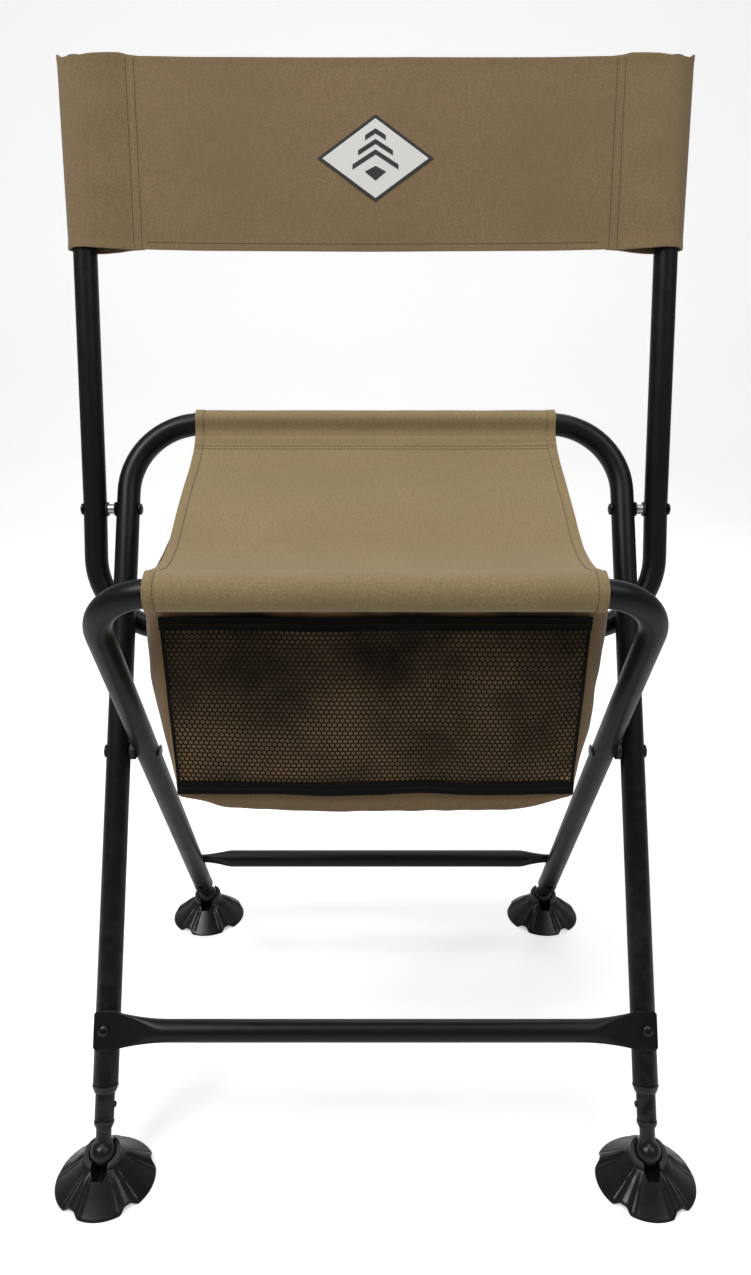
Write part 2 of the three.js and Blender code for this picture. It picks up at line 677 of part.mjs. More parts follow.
// lockSide is the sign, along Y of the frame's plane, of the wall that the lock button stands in.
const LEGS = [
  {
    name: "front",
    plane: frontPlane,
    half: FRONT_HALF_WIDTH,
    ball: -PIVOT_TO_FRONT_BALL,
    lean: -FRONT_LEAN,
    tubeEnd: FRONT_TUBE_END,
    lockSide: 1,
    studButton: true,
  },
  {
    name: "rear",
    plane: rearPlane,
    half: REAR_HALF_WIDTH,
    ball: -PIVOT_TO_REAR_BALL,
    lean: REAR_LEAN,
    tubeEnd: REAR_TUBE_END,
    lockSide: -1,
    studButton: false,
  },
];
for (const leg of LEGS)
  for (const { name, sign } of SIDES) {
    const ball = group(leg.plane, sign * leg.half, 0, leg.ball);
    const tag = `${leg.name}_${name}`;
    const studSide = leg.studButton ? -sign : 0;
    const lockZ = leg.tubeEnd + LOCK_HEIGHT;
    add(ball, `leg_extension_${tag}`, extension(leg.tubeEnd, leg.lockSide, studSide), PAINT);
    add(group(ball, 0, 0, leg.tubeEnd), `leg_ferrule_${tag}`, ferrule(), PLASTIC);
    add(ball, `ball_stud_${tag}`, ballStud(studSide), PLASTIC);

    const lockButton = pointing(button(LOCK_BUTTON), "y", leg.lockSide);
    add(group(ball, 0, 0, lockZ), `lock_button_${tag}`, lockButton, STEEL);
    const spring = leg.lockSide > 0 ? leafSpring() : leafSpring().rotate([0, 0, 180]);
    add(group(ball, 0, 0, lockZ), `lock_spring_${tag}`, spring, STEEL);
    if (studSide) {
      const studButton = pointing(button(STUD_BUTTON), "x", studSide);
      add(group(ball, 0, 0, STUD_BUTTON_UP), `stud_button_${name}`, studButton, STEEL);
    }
    add(group(ball, 0, 0, 0, -leg.lean), `foot_pad_${tag}`, footPad(), PLASTIC);
  }

// ---- Sling seat ----

const rearBar = new THREE.Vector2(
  PIVOT_TO_REAR_BAR * Math.sin(rad(FRONT_LEAN)),
  PIVOT_Z + PIVOT_TO_REAR_BAR * Math.cos(rad(FRONT_LEAN)),
);
const frontBar = new THREE.Vector2(
  -PIVOT_TO_FRONT_BAR * Math.sin(rad(REAR_LEAN)),
  PIVOT_Z + PIVOT_TO_FRONT_BAR * Math.cos(rad(REAR_LEAN)),
);

// The top line of the hanging web: level behind the front bar, then rising to the rear bar.
const onSleeve = new THREE.Vector2(0, SLEEVE_OUT - 0.6);
const webStart = frontBar.clone().add(onSleeve);
const webEnd = rearBar.clone().add(onSleeve);
const pulledDown = new THREE.Vector2(0, (-SLING_SAG * 4) / 3);
const webTop = new THREE.CubicBezierCurve(
  webStart,
  webStart.clone().lerp(webEnd, 1 / 3).add(pulledDown),
  webStart.clone().lerp(webEnd, 2 / 3).add(pulledDown),
  webEnd,
);

function slingSeat() {
  const top = webTop.getPoints(10);
  const bottom = top.map((point) => point.clone().sub(new THREE.Vector2(0, SLING_THICK))).reverse();
  const web = acrossChair(new THREE.Shape([...top, ...bottom]), SLING_WIDTH);
  const far = 2000; // beyond the chair on every side
  const slab = block([-SLING_WIDTH / 2, -far, -far], [SLING_WIDTH / 2, far, far]);
  const wrap = (path, radius, lean) => sweep(path, radius).rotate([lean, 0, 0]).translate([0, 0, PIVOT_Z]);
  const sleeves = [
    [frontPath, -FRONT_LEAN],
    [rearPath, REAR_LEAN],
  ];
  const outer = sleeves.map(([path, lean]) => wrap(path, SLEEVE_OUT, lean).intersect(slab));
  const bores = sleeves.map(([path, lean]) => wrap(path, SLEEVE_IN, lean));
  return cutAll(outer[0].add(outer[1]).add(web), bores);
}
add(chair, "seat_sling", slingSeat(), CANVAS);

// ---- Backrest cover: one panel with a stitched pocket round each upright ----

const PANEL_THICK = 2;
const POCKET_WRAP = 102; // degrees each way round the upright before the fabric leaves it

function backrestCover() {
  const seamX = BACK_HALF_WIDTH - COVER_SEAM_IN;
  // half of the section, from the seam round the outside of the upright and back
  const pocket = (radius, edge) => {
    const arc = profileArc(radius, 0, -POCKET_WRAP, POCKET_WRAP, 10, BACK_HALF_WIDTH);
    return [[seamX, -edge], ...arc, [seamX, edge]];
  };
  const mirrored = (points) => points.map(([x, y]) => [-x, -y]);
  const vectors = (points) => points.map(([x, y]) => new THREE.Vector2(x, y));
  const outer = pocket(SLEEVE_OUT, PANEL_THICK / 2);
  const cavity = pocket(SLEEVE_IN, PANEL_THICK / 5);
  const shape = new THREE.Shape(vectors([...outer, ...mirrored(outer)]));
  shape.holes.push(new THREE.Path(vectors(cavity)), new THREE.Path(vectors(mirrored(cavity))));
  const geometry = new THREE.ExtrudeGeometry(shape, { depth: COVER_TOP - COVER_BOTTOM, bevelEnabled: false });
  geometry.translate(0, 0, COVER_BOTTOM);
  return solid(geometry);
}
add(backPlane, "backrest_cover", backrestCover(), CANVAS);

// ---- Storage bag under the seat, with a net pocket on its front ----

const BAG_HALF_TOP = 191;
const BAG_HALF_BOTTOM = 185;
const BAG_BULGE = 24;
const BAG_FRONT = -129;
const BAG_BACK = 34;
const BAG_TOP = 592;
const BAG_FLOOR = 400;
const BAG_WALL = 2.2;
const POCKET_TOP = 588;
const POCKET_BOTTOM = 412;
const POCKET_THICK = 1.6;

// A box whose sides draw in towards the floor and bulge outwards halfway between front and back.
function softBox({ halfTop, halfBottom, bulge, front, back, floor, top }) {
  const middle = (front + back) / 2;
  const geometry = new THREE.BoxGeometry(2, back - front, top - floor, 1, 2, 1);
  geometry.translate(0, middle, (floor + top) / 2);
  const position = geometry.attributes.position;
  for (let i = 0; i < position.count; i++) {
    const up = (position.getZ(i) - floor) / (top - floor);
    const outward = Math.abs(position.getY(i) - middle) < 1 ? bulge * (1 + up) / 2 : 0;
    position.setX(i, position.getX(i) * (lerp(halfBottom, halfTop, up) + outward));
  }
  return solid(geometry);
}

function storageBag() {
  const outer = {
    halfTop: BAG_HALF_TOP,
    halfBottom: BAG_HALF_BOTTOM,
    bulge: BAG_BULGE,
    front: BAG_FRONT,
    back: BAG_BACK,
    floor: BAG_FLOOR,
    top: BAG_TOP,
  };
  const inner = {
    halfTop: BAG_HALF_TOP - BAG_WALL,
    halfBottom: BAG_HALF_BOTTOM - BAG_WALL,
    bulge: BAG_BULGE,
    front: BAG_FRONT + BAG_WALL,
    back: BAG_BACK - BAG_WALL,
    floor: BAG_FLOOR + BAG_WALL,
    top: BAG_TOP + 1,
  };
  return softBox(outer).subtract(softBox(inner));
}
add(chair, "storage_bag", storageBag(), CANVAS);

const netPocket = softBox({
  halfTop: BAG_HALF_TOP - 2,
  halfBottom: BAG_HALF_BOTTOM,
  bulge: 0,
  front: BAG_FRONT - GAP - POCKET_THICK,
  back: BAG_FRONT - GAP,
  floor: POCKET_BOTTOM,
  top: POCKET_TOP,
});
add(chair, "net_pocket", netPocket, NETTING);

export default part;
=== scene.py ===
import json
import math

import bmesh
import bpy
import numpy as np
from mathutils import Matrix, Vector, noise


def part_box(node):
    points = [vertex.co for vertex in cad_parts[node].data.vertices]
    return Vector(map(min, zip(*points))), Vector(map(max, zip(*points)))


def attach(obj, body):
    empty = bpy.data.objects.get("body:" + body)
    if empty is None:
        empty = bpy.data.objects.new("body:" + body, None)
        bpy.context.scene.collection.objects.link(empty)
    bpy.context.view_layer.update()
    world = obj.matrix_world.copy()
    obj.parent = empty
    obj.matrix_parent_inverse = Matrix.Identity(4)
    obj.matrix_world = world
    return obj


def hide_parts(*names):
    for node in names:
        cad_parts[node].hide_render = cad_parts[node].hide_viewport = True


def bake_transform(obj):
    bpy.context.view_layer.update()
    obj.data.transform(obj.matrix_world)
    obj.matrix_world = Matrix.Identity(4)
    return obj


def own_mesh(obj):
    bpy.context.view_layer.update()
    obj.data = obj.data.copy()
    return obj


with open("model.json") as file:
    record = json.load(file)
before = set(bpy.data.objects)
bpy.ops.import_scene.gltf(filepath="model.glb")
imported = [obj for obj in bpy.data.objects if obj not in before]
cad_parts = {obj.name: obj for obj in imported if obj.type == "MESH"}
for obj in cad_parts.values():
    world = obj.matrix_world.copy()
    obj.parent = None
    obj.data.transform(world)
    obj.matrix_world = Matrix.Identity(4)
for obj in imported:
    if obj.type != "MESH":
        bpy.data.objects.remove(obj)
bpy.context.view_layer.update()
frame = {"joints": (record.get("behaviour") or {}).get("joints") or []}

# ---------------------------------------------------------------- places taken from the frame
# Metres everywhere, except that lathe profiles are in millimetres.

MM = 1000
GAP = 0.0003
TUBE_R = 0.0127
TUBE_WALL = 0.0015
STEM_R = 0.00765
BALL_R = 0.0132
LOCK_UP = 0.031  # the lock button above the end of its outer tube
HOLE_PITCH = 0.015
STUD_UP = 0.046  # the stem's button above the ball
HOLE_R = 3.5  # mm, of the holes for the buttons
SIDES = (("left", -1), ("right", 1))
JOINTS = {joint["name"]: joint for joint in frame["joints"]}


class Plane:
    """A frame's own plane: x across the chair, z up the tubes, y square to both."""

    def __init__(self, origin, up):
        self.o = Vector(origin)
        self.x = Vector((1, 0, 0))
        self.z = Vector(up).normalized()
        self.y = self.z.cross(self.x)

    def at(self, x, y, z):
        return self.o + self.x * x + self.y * y + self.z * z

    def matrix(self, x=0.0, y=0.0, z=0.0):
        m = Matrix((self.x, self.y, self.z)).transposed().to_4x4()
        m.translation = self.at(x, y, z)
        return m


def joint_at(name):
    return Vector(JOINTS[name]["pos_m"])


FOLD = joint_at("fold")
BACK_PIVOT = joint_at("backrest_fold")


class Legs:
    """One bent frame: its plane through the fold pivot, and the heights along its legs."""

    def __init__(self, kind, tube_end, side):
        self.kind = kind
        self.side = side  # the sign, along the plane's y, of the wall that the lock buttons come through
        self.tube_end = tube_end  # of the outer tube, above the ball
        self.body = f"{kind}_legs"
        self.node = f"{kind}_leg_frame"
        self.plane = Plane(FOLD, -Vector(JOINTS[f"leg_slide_{kind}_left"]["axis"]))
        self.ball = joint_at(f"foot_tilt_{kind}_right")
        self.half = self.ball.x
        self.ball_z = (self.ball - FOLD).dot(self.plane.z)
        self.lock_z = self.ball_z + tube_end + LOCK_UP
        self.bar_z = (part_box(self.node)[1].z - FOLD.z - TUBE_R) / self.plane.z.z
        self.bar = self.plane.at(0, 0, self.bar_z)


FRONT = Legs("front", 0.066, 1)
REAR = Legs("rear", 0.044, -1)
FRONT_BAR = REAR.bar
REAR_BAR = FRONT.bar
BACK_PIVOT_Z = (Vector((0, BACK_PIVOT.y, BACK_PIVOT.z)) - FOLD).dot(FRONT.plane.z)
cap_low, cap_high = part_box("upright_cap_left")
cap_mid = (cap_low + cap_high) / 2
BACK = Plane(BACK_PIVOT, (0, cap_mid.y - BACK_PIVOT.y, cap_mid.z - BACK_PIVOT.z))
BACK_HALF = -cap_mid.x
BACK_TOP = (cap_high - BACK_PIVOT).dot(BACK.z) - 0.0055
SLING_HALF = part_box("seat_sling")[1].x


# ---------------------------------------------------------------- mesh building

def smooth(a, b, v):
    """A soft step from 0 at a to 1 at b."""
    t = np.clip((np.asarray(v, float) - a) / (b - a), 0, 1)
    return t * t * (3 - 2 * t)


def moved(part, matrix):
    verts, faces = part
    m = np.array(matrix, float)
    return verts @ m[:3, :3].T + m[:3, 3], faces


def joined(*parts):
    verts, faces, base = [], [], 0
    for v, f in parts:
        verts.append(v)
        faces += [tuple(i + base for i in face) for face in f]
        base += len(v)
    return np.vstack(verts), faces


def lathe(profile, segs=40, ring=False):
    """Turns [radius, height] points, in millimetres, about Z. A ring profile is closed on itself."""
    verts, rows = [], []
    for radius, height in profile:
        if radius < 1e-6 and not ring:
            rows.append([len(verts)] * segs)
            verts.append((0, 0, height / MM))
            continue
        rows.append(list(range(len(verts), len(verts) + segs)))
        for k in range(segs):
            a = 2 * math.pi * k / segs
            verts.append((radius * math.cos(a) / MM, radius * math.sin(a) / MM, height / MM))
    faces = []
    count = len(rows)
    for i in range(count if ring else count - 1):
        low, high = rows[i], rows[(i + 1) % count]
        for k in range(segs):
            n = (k + 1) % segs
            corner = [low[k], low[n], high[n], high[k]]
            face = tuple(dict.fromkeys(corner))
            if len(face) > 2:
                faces.append(face)
    return np.array(verts, float), faces


def arc(radius, height, start, end, steps):
    out = []
    for i in range(steps + 1):
        a = math.radians(start + (end - start) * i / steps)
        out.append((abs(radius * math.cos(a)), height + radius * math.sin(a)))
    return out


def bent_path(corners, radius=0.08, step=5.0):
    """Points and directions along straight runs joined by arcs."""
    corners = [Vector(c) for c in corners]
    points = [corners[0]]
    heads = [(corners[1] - corners[0]).normalized()]
    for i in range(1, len(corners) - 1):
        before = (corners[i] - corners[i - 1]).normalized()
        after = (corners[i + 1] - corners[i]).normalized()
        turn = before.angle(after)
        start = corners[i] - before * radius * math.tan(turn / 2)
        axis = before.cross(after).normalized()
        centre = start + axis.cross(before) * radius
        pieces = max(2, round(math.degrees(turn) / step))
        for k in range(pieces + 1):
            spin = Matrix.Rotation(turn * k / pieces, 3, axis)
            points.append(spin @ (start - centre) + centre)
            heads.append(spin @ before)
    points.append(corners[-1])
    heads.append((corners[-1] - corners[-2]).normalized())
    return points, heads


def tube(points, heads, outer, inner, segs=36):
    """A round tube along a path, open at both ends, with a slightly rounded cut edge."""
    side = heads[0].orthogonal().normalized()
    edge = 0.0004
    rings = []
    for i, (point, head) in enumerate(zip(points, heads)):
        side = (side - head * side.dot(head)).normalized()
        rings.append((point, side.copy(), head.cross(side), head))
    outer_rows = [(rings[0], outer - edge, 0.0), (rings[0], outer, edge)]
    outer_rows += [(ring, outer, 0.0) for ring in rings[1:-1]]
    outer_rows += [(rings[-1], outer, -edge), (rings[-1], outer - edge, 0.0)]
    rows = outer_rows + [(ring, inner, 0.0) for ring in reversed(rings)]
    verts = []
    for (point, side, across, head), radius, along in rows:
        for k in range(segs):
            a = 2 * math.pi * k / segs
            verts.append(point + head * along + (side * math.cos(a) + across * math.sin(a)) * radius)
    faces = []
    for i in range(len(rows)):
        j = (i + 1) % len(rows)
        for k in range(segs):
            n = (k + 1) % segs
            faces.append((i * segs + k, i * segs + n, j * segs + n, j * segs + k))
    return np.array(verts, float), faces


def box_part(low, high):
    (x0, y0, z0), (x1, y1, z1) = low, high
    corner = [(x, y, z) for x in (x0, x1) for y in (y0, y1) for z in (z0, z1)]
    faces = [(0, 1, 3, 2), (4, 6, 7, 5), (0, 4, 5, 1), (2, 3, 7, 6), (0, 2, 6, 4), (1, 5, 7, 3)]
    return np.array(corner, float), faces


def rod(radius, length, segs=24):
    """A plain cutter from Z = 0 up, in millimetres."""
    return lathe([(0, 0), (radius, 0), (radius, length), (0, length)], segs)


def shell(mid, half, normals=None):
    """Gives a grid of points a thickness: half is the distance to each side. Returns verts, faces."""
    nu, nv = mid.shape[:2]
    if normals is None:
        normals = np.cross(np.gradient(mid, axis=0), np.gradient(mid, axis=1))
        normals /= np.linalg.norm(normals, axis=2, keepdims=True)
    half = np.broadcast_to(np.asarray(half, float), (nu, nv))[..., None]
    verts = np.vstack([(mid + normals * half).reshape(-1, 3), (mid - normals * half).reshape(-1, 3)])
    base = nu * nv
    faces = []
    for i in range(nu - 1):
        for j in range(nv - 1):
            a, b, c, d = i * nv + j, (i + 1) * nv + j, (i + 1) * nv + j + 1, i * nv + j + 1
            faces.append((a, b, c, d))
            faces.append((a + base, d + base, c + base, b + base))
    border = [i * nv for i in range(nu)] + [(nu - 1) * nv + j for j in range(1, nv)]
    border += [i * nv + nv - 1 for i in range(nu - 2, -1, -1)] + [j for j in range(nv - 2, 0, -1)]
    for a, b in zip(border, border[1:] + border[:1]):
        faces.append((b, a, a + base, b + base))
    return verts, faces


def spline(points, spacing):
    """A Catmull-Rom line through 2-D or 3-D points, resampled at an even spacing."""
    p = np.asarray(points, float)
    p = np.vstack([2 * p[0] - p[1], p, 2 * p[-1] - p[-2]])
    dense = []
    for i in range(1, len(p) - 2):
        t = np.linspace(0, 1, 24, endpoint=False)[:, None]
        a, b, c, d = p[i - 1], p[i], p[i + 1], p[i + 2]
        curve = 2 * b + (c - a) * t + (2 * a - 5 * b + 4 * c - d) * t**2 + (3 * b - a - 3 * c + d) * t**3
        dense.append(0.5 * curve)
    dense = np.vstack(dense + [p[-2:-1]])
    return resampled(dense, spacing)


def lengths(line):
    """How far along a line each of its points is."""
    return np.r_[0, np.cumsum(np.linalg.norm(np.diff(line, axis=0), axis=1))]


def resampled(line, spacing):
    run = lengths(line)
    count = max(2, round(run[-1] / spacing) + 1)
    at = np.linspace(0, run[-1], count)
    return np.stack([np.interp(at, run, line[:, k]) for k in range(line.shape[1])], axis=1)


def stitches(line, normals, length=0.0027, gap=0.0009, radius=0.00042, rise=0.0001):
    """Thread laid along a line on a surface: one small rounded bead for each stitch."""
    run = lengths(line)
    starts = np.arange(0.0005, run[-1] - length, length + gap)

    def sample(values, at):
        return Vector([np.interp(at, run, values[:, k]) for k in range(3)])

    parts = []
    for s in starts:
        a, b = sample(line, s), sample(line, s + length)
        up = sample(normals, s + length / 2).normalized()
        along = (b - a).normalized()
        across = along.cross(up).normalized()
        verts = [a - along * radius * 0.3 - up * radius * 0.6]
        for share, size in ((0.0, 0.55), (0.18, 1.0), (0.82, 1.0), (1.0, 0.55)):
            centre = a.lerp(b, share) + up * rise
            for k in range(6):
                t = math.pi * k / 3
                verts.append(centre + (across * math.cos(t) + up * math.sin(t)) * radius * size)
        verts.append(b + along * radius * 0.3 - up * radius * 0.6)
        faces = [(0, 1 + (k + 1) % 6, 1 + k) for k in range(6)]
        for r in range(3):
            for k in range(6):
                n = (k + 1) % 6
                faces.append((1 + r * 6 + k, 1 + r * 6 + n, 7 + r * 6 + n, 7 + r * 6 + k))
        faces += [(25, 19 + k, 19 + (k + 1) % 6) for k in range(6)]
        parts.append((np.array(verts, float), faces))
    return joined(*parts)


def new_object(name, part):
    mesh = bpy.data.meshes.new(name)
    mesh.from_pydata([tuple(v) for v in part[0]], [], part[1])
    mesh.validate()
    mesh.update()
    obj = bpy.data.objects.new(name, mesh)
    bpy.context.scene.collection.objects.link(obj)
    return obj


def bake(obj):
    """Replaces the mesh by what its modifiers make of it."""
    depsgraph = bpy.context.evaluated_depsgraph_get()
    mesh = bpy.data.meshes.new_from_object(obj.evaluated_get(depsgraph))
    obj.modifiers.clear()
    obj.data = mesh


def combine(obj, part, operation):
    """Joins a part to a mesh, or takes it out."""
    tool = new_object("tool", part)
    normals_outward(tool.data)
    normals_outward(obj.data)
    step = obj.modifiers.new("combine", "BOOLEAN")
    step.operation = operation
    step.solver = "MANIFOLD"
    step.object = tool
    bpy.context.view_layer.update()
    bake(obj)
    bpy.data.objects.remove(tool)


def cut(obj, *cutters):
    """Takes the cutters, which don't overlap one another, out of a mesh."""
    combine(obj, joined(*cutters), "DIFFERENCE")


def normals_outward(mesh):
    bm = bmesh.new()
    bm.from_mesh(mesh)
    bmesh.ops.recalc_face_normals(bm, faces=bm.faces)
    bm.to_mesh(mesh)
    bm.free()


def shade(mesh, sharp_degrees):
    """Smooth faces, with sharp edges kept where two faces meet at more than an angle."""
    bm = bmesh.new()
    bm.from_mesh(mesh)
    bmesh.ops.recalc_face_normals(bm, faces=bm.faces)
    limit = math.radians(sharp_degrees)
    for face in bm.faces:
        face.smooth = True
    for edge in bm.edges:
        edge.smooth = len(edge.link_faces) == 2 and edge.calc_face_angle(0) < limit
    bm.to_mesh(mesh)
    bm.free()


def both_sides(weave):
    """Cloth coordinates for the two faces of a shell."""
    return np.vstack([weave.reshape(-1, 3)] * 2)


def finish_piece(obj, material, ride=None, replaces=(), sharp=38, weave=None):
    """Shading, material and body of a piece; weave holds the cloth coordinates of its points."""
    shade(obj.data, sharp)
    if weave is not None:
        attribute = obj.data.attributes.new("weave", "FLOAT_VECTOR", "POINT")
        attribute.data.foreach_set("vector", np.asarray(weave, np.float32).ravel())
    obj.data.materials.clear()
    obj.data.materials.append(material)
    if ride:
        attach(obj, ride)
    if replaces:
        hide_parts(*replaces)
    return obj


def piece(name, part, material, ride=None, replaces=(), sharp=38, weave=None):
    return finish_piece(new_object(name, part), material, ride, replaces, sharp, weave)


# ---------------------------------------------------------------- materials

class Nodes:
    """A material, with short names for the shader nodes that the materials share."""

    def __init__(self, name):
        self.material = bpy.data.materials.new(name)
        self.material.use_nodes = True
        self.tree = self.material.node_tree
        self.shader = self.tree.nodes["Principled BSDF"]

    def node(self, kind, **settings):
        """A new node of a kind, with its settings."""
        made = self.tree.nodes.new(kind)
        for key, value in settings.items():
            setattr(made, key, value)
        return made

    def link(self, source, target):
        self.tree.links.new(source, target)
        return target

    def coordinates(self, weave=False):
        if weave:
            return self.node("ShaderNodeAttribute", attribute_name="weave").outputs["Vector"]
        return self.node("ShaderNodeTexCoord").outputs["Object"]

    def noise(self, where, scale, detail=3.0, stretch=None):
        if stretch:
            mapping = self.node("ShaderNodeMapping")
            mapping.inputs["Scale"].default_value = stretch
            self.link(where, mapping.inputs["Vector"])
            where = mapping.outputs["Vector"]
        made = self.node("ShaderNodeTexNoise")
        made.inputs["Scale"].default_value = scale
        made.inputs["Detail"].default_value = detail
        self.link(where, made.inputs["Vector"])
        return made.outputs["Fac"]

    def wave(self, where, scale, turn=0.0, distortion=0.0):
        mapping = self.node("ShaderNodeMapping")
        mapping.inputs["Rotation"].default_value = (0, 0, math.radians(turn))
        self.link(where, mapping.inputs["Vector"])
        made = self.node("ShaderNodeTexWave", wave_type="BANDS", bands_direction="X")
        made.inputs["Scale"].default_value = scale
        made.inputs["Distortion"].default_value = distortion
        made.inputs["Detail Scale"].default_value = 2.0
        self.link(mapping.outputs["Vector"], made.inputs["Vector"])
        return made.outputs["Fac"]

    def ramp(self, fac, low, high, start=0.3, end=0.7):
        """Maps start to low and end to high, and holds the value beyond them."""
        made = self.node("ShaderNodeMapRange")
        made.inputs["From Min"].default_value = start
        made.inputs["From Max"].default_value = end
        made.inputs["To Min"].default_value = low
        made.inputs["To Max"].default_value = high
        self.link(fac, made.inputs["Value"])
        return made.outputs["Result"]

    def math(self, operation, a, b=0.0):
        made = self.node("ShaderNodeMath", operation=operation)
        for value, socket in ((a, made.inputs[0]), (b, made.inputs[1])):
            if isinstance(value, (int, float)):
                socket.default_value = value
            else:
                self.link(value, socket)
        return made.outputs[0]

    def mix(self, fac, a, b):
        made = self.node("ShaderNodeMix", data_type="RGBA")
        for value, socket in ((fac, made.inputs[0]), (a, made.inputs[6]), (b, made.inputs[7])):
            if isinstance(value, (int, float)):
                socket.default_value = value
            elif isinstance(value, tuple):
                socket.default_value = (*value, 1.0)
            else:
                self.link(value, socket)
        return made.outputs[2]

    def bump(self, height, strength, distance, before=None):
        made = self.node("ShaderNodeBump")
        made.inputs["Strength"].default_value = strength
        made.inputs["Distance"].default_value = distance
        self.link(height, made.inputs["Height"])
        if before is not None:
            self.link(before, made.inputs["Normal"])
        return made.outputs["Normal"]

    def edges(self, low, high):
        """Bright on convex edges."""
        pointed = self.node("ShaderNodeNewGeometry").outputs["Pointiness"]
        return self.ramp(pointed, 0.0, 1.0, low, high)

    def done(self, colour=None, roughness=None, normal=None, **values):
        for source, name in ((colour, "Base Color"), (roughness, "Roughness"), (normal, "Normal")):
            if source is not None:
                self.link(source, self.shader.inputs[name])
        for key, value in values.items():
            label = key.replace("_", " ").title().replace("Ior Level", "IOR Level")
            self.shader.inputs[label].default_value = value
        return self.material


def per_wave(width):
    """The wave texture's scale that gives waves of a width in metres."""
    return 0.5 / width


def powder_coat():
    """Satin black paint, with fine grain and a trace of wear on the edges."""
    n = Nodes("powder_coat")
    where = n.coordinates()
    worn = n.math("MULTIPLY", n.edges(0.53, 0.62), n.ramp(n.noise(where, 90), 0.0, 1.0, 0.45, 0.65))
    tone = n.mix(n.noise(where, 14), (0.0028, 0.0030, 0.0034), (0.0044, 0.0047, 0.0052))
    colour = n.mix(worn, tone, (0.035, 0.035, 0.037))
    rough = n.math("ADD", n.ramp(n.noise(where, 35), 0.32, 0.42), n.ramp(n.noise(where, 900), -0.04, 0.04))
    normal = n.bump(n.noise(where, 700, 2.0), 0.10, 0.0004)
    return n.done(colour, rough, normal, specular_ior_level=0.24, coat_weight=0.03, coat_roughness=0.25)


def moulded_plastic(name, low, high, rough_low, rough_high):
    """Plastic between two tones, with a fine moulded grain and slow waves."""
    n = Nodes(name)
    where = n.coordinates()
    tone = n.mix(n.noise(where, 25), low, high)
    colour = n.mix(n.math("MULTIPLY", n.edges(0.53, 0.64), 0.5), tone, (0.04, 0.041, 0.043))
    rough = n.ramp(n.noise(where, 60), rough_low, rough_high)
    normal = n.bump(n.noise(where, 1600, 2.0), 0.12, 0.0002)
    normal = n.bump(n.noise(where, 120, 2.0), 0.05, 0.0006, normal)
    return n.done(colour, rough, normal, specular_ior_level=0.36)


def plated(name, base, rough_low, rough_high):
    """Bare or plated metal, cloudy and lightly brushed."""
    n = Nodes(name)
    where = n.coordinates()
    dark = tuple(c * 0.6 for c in base)
    colour = n.mix(n.ramp(n.noise(where, 240), 0.0, 1.0), dark, base)
    rough = n.ramp(n.noise(where, 500, 3.0, (1.0, 1.0, 0.2)), rough_low, rough_high)
    normal = n.bump(n.noise(where, 1500, 2.0), 0.08, 0.0001)
    return n.done(colour, rough, normal, metallic=1.0)


def painted_light_and_shade_behind_net(n, colour, low, high):
    """Painted light and painted shade on the cloth seen through a net, between two corners: the cloth there
    is painted brighter, and painted shade darkens it most at the top and in the middle.
    """
    split = n.node("ShaderNodeSeparateXYZ")
    n.link(n.coordinates(), split.inputs["Vector"])
    x, y, z = (split.outputs[axis] for axis in "XYZ")
    rise = n.ramp(z, 0.05, 1.0, low.z + 0.3 * (high.z - low.z), high.z - 0.03)
    aside = n.math("ABSOLUTE", x)
    middle = n.ramp(aside, 1.0, 0.6, 0.5 * high.x, high.x)
    cloudy = n.ramp(n.noise(n.coordinates(), 14, 3.0), 0.45, 1.0, 0.36, 0.64)
    # painted shade: how much the cloth behind the net is darkened, most at the top and in the middle
    painted_shade_amount = n.math("MULTIPLY", n.math("MULTIPLY", rise, middle), cloudy)
    inside = n.ramp(z, 0.0, 1.0, low.z, low.z + 0.01)
    inside = n.math("MULTIPLY", inside, n.ramp(y, 1.0, 0.0, low.y + 0.010, low.y + 0.016))
    inside = n.math("MULTIPLY", inside, n.ramp(aside, 1.0, 0.0, high.x - 0.003, high.x))
    # painted light: the cloth behind the net gets a brighter colour of its own
    lit = n.mix(n.ramp(cloudy, 0.0, 1.0, 1.0, 0.45), (0.16, 0.102, 0.046), (0.39, 0.253, 0.115))
    colour = n.mix(inside, colour, lit)
    # painted shade: the cloth behind the net darkens towards near black where the shade amount is high
    return n.mix(n.math("MULTIPLY", painted_shade_amount, inside), colour, (0.010, 0.007, 0.004))


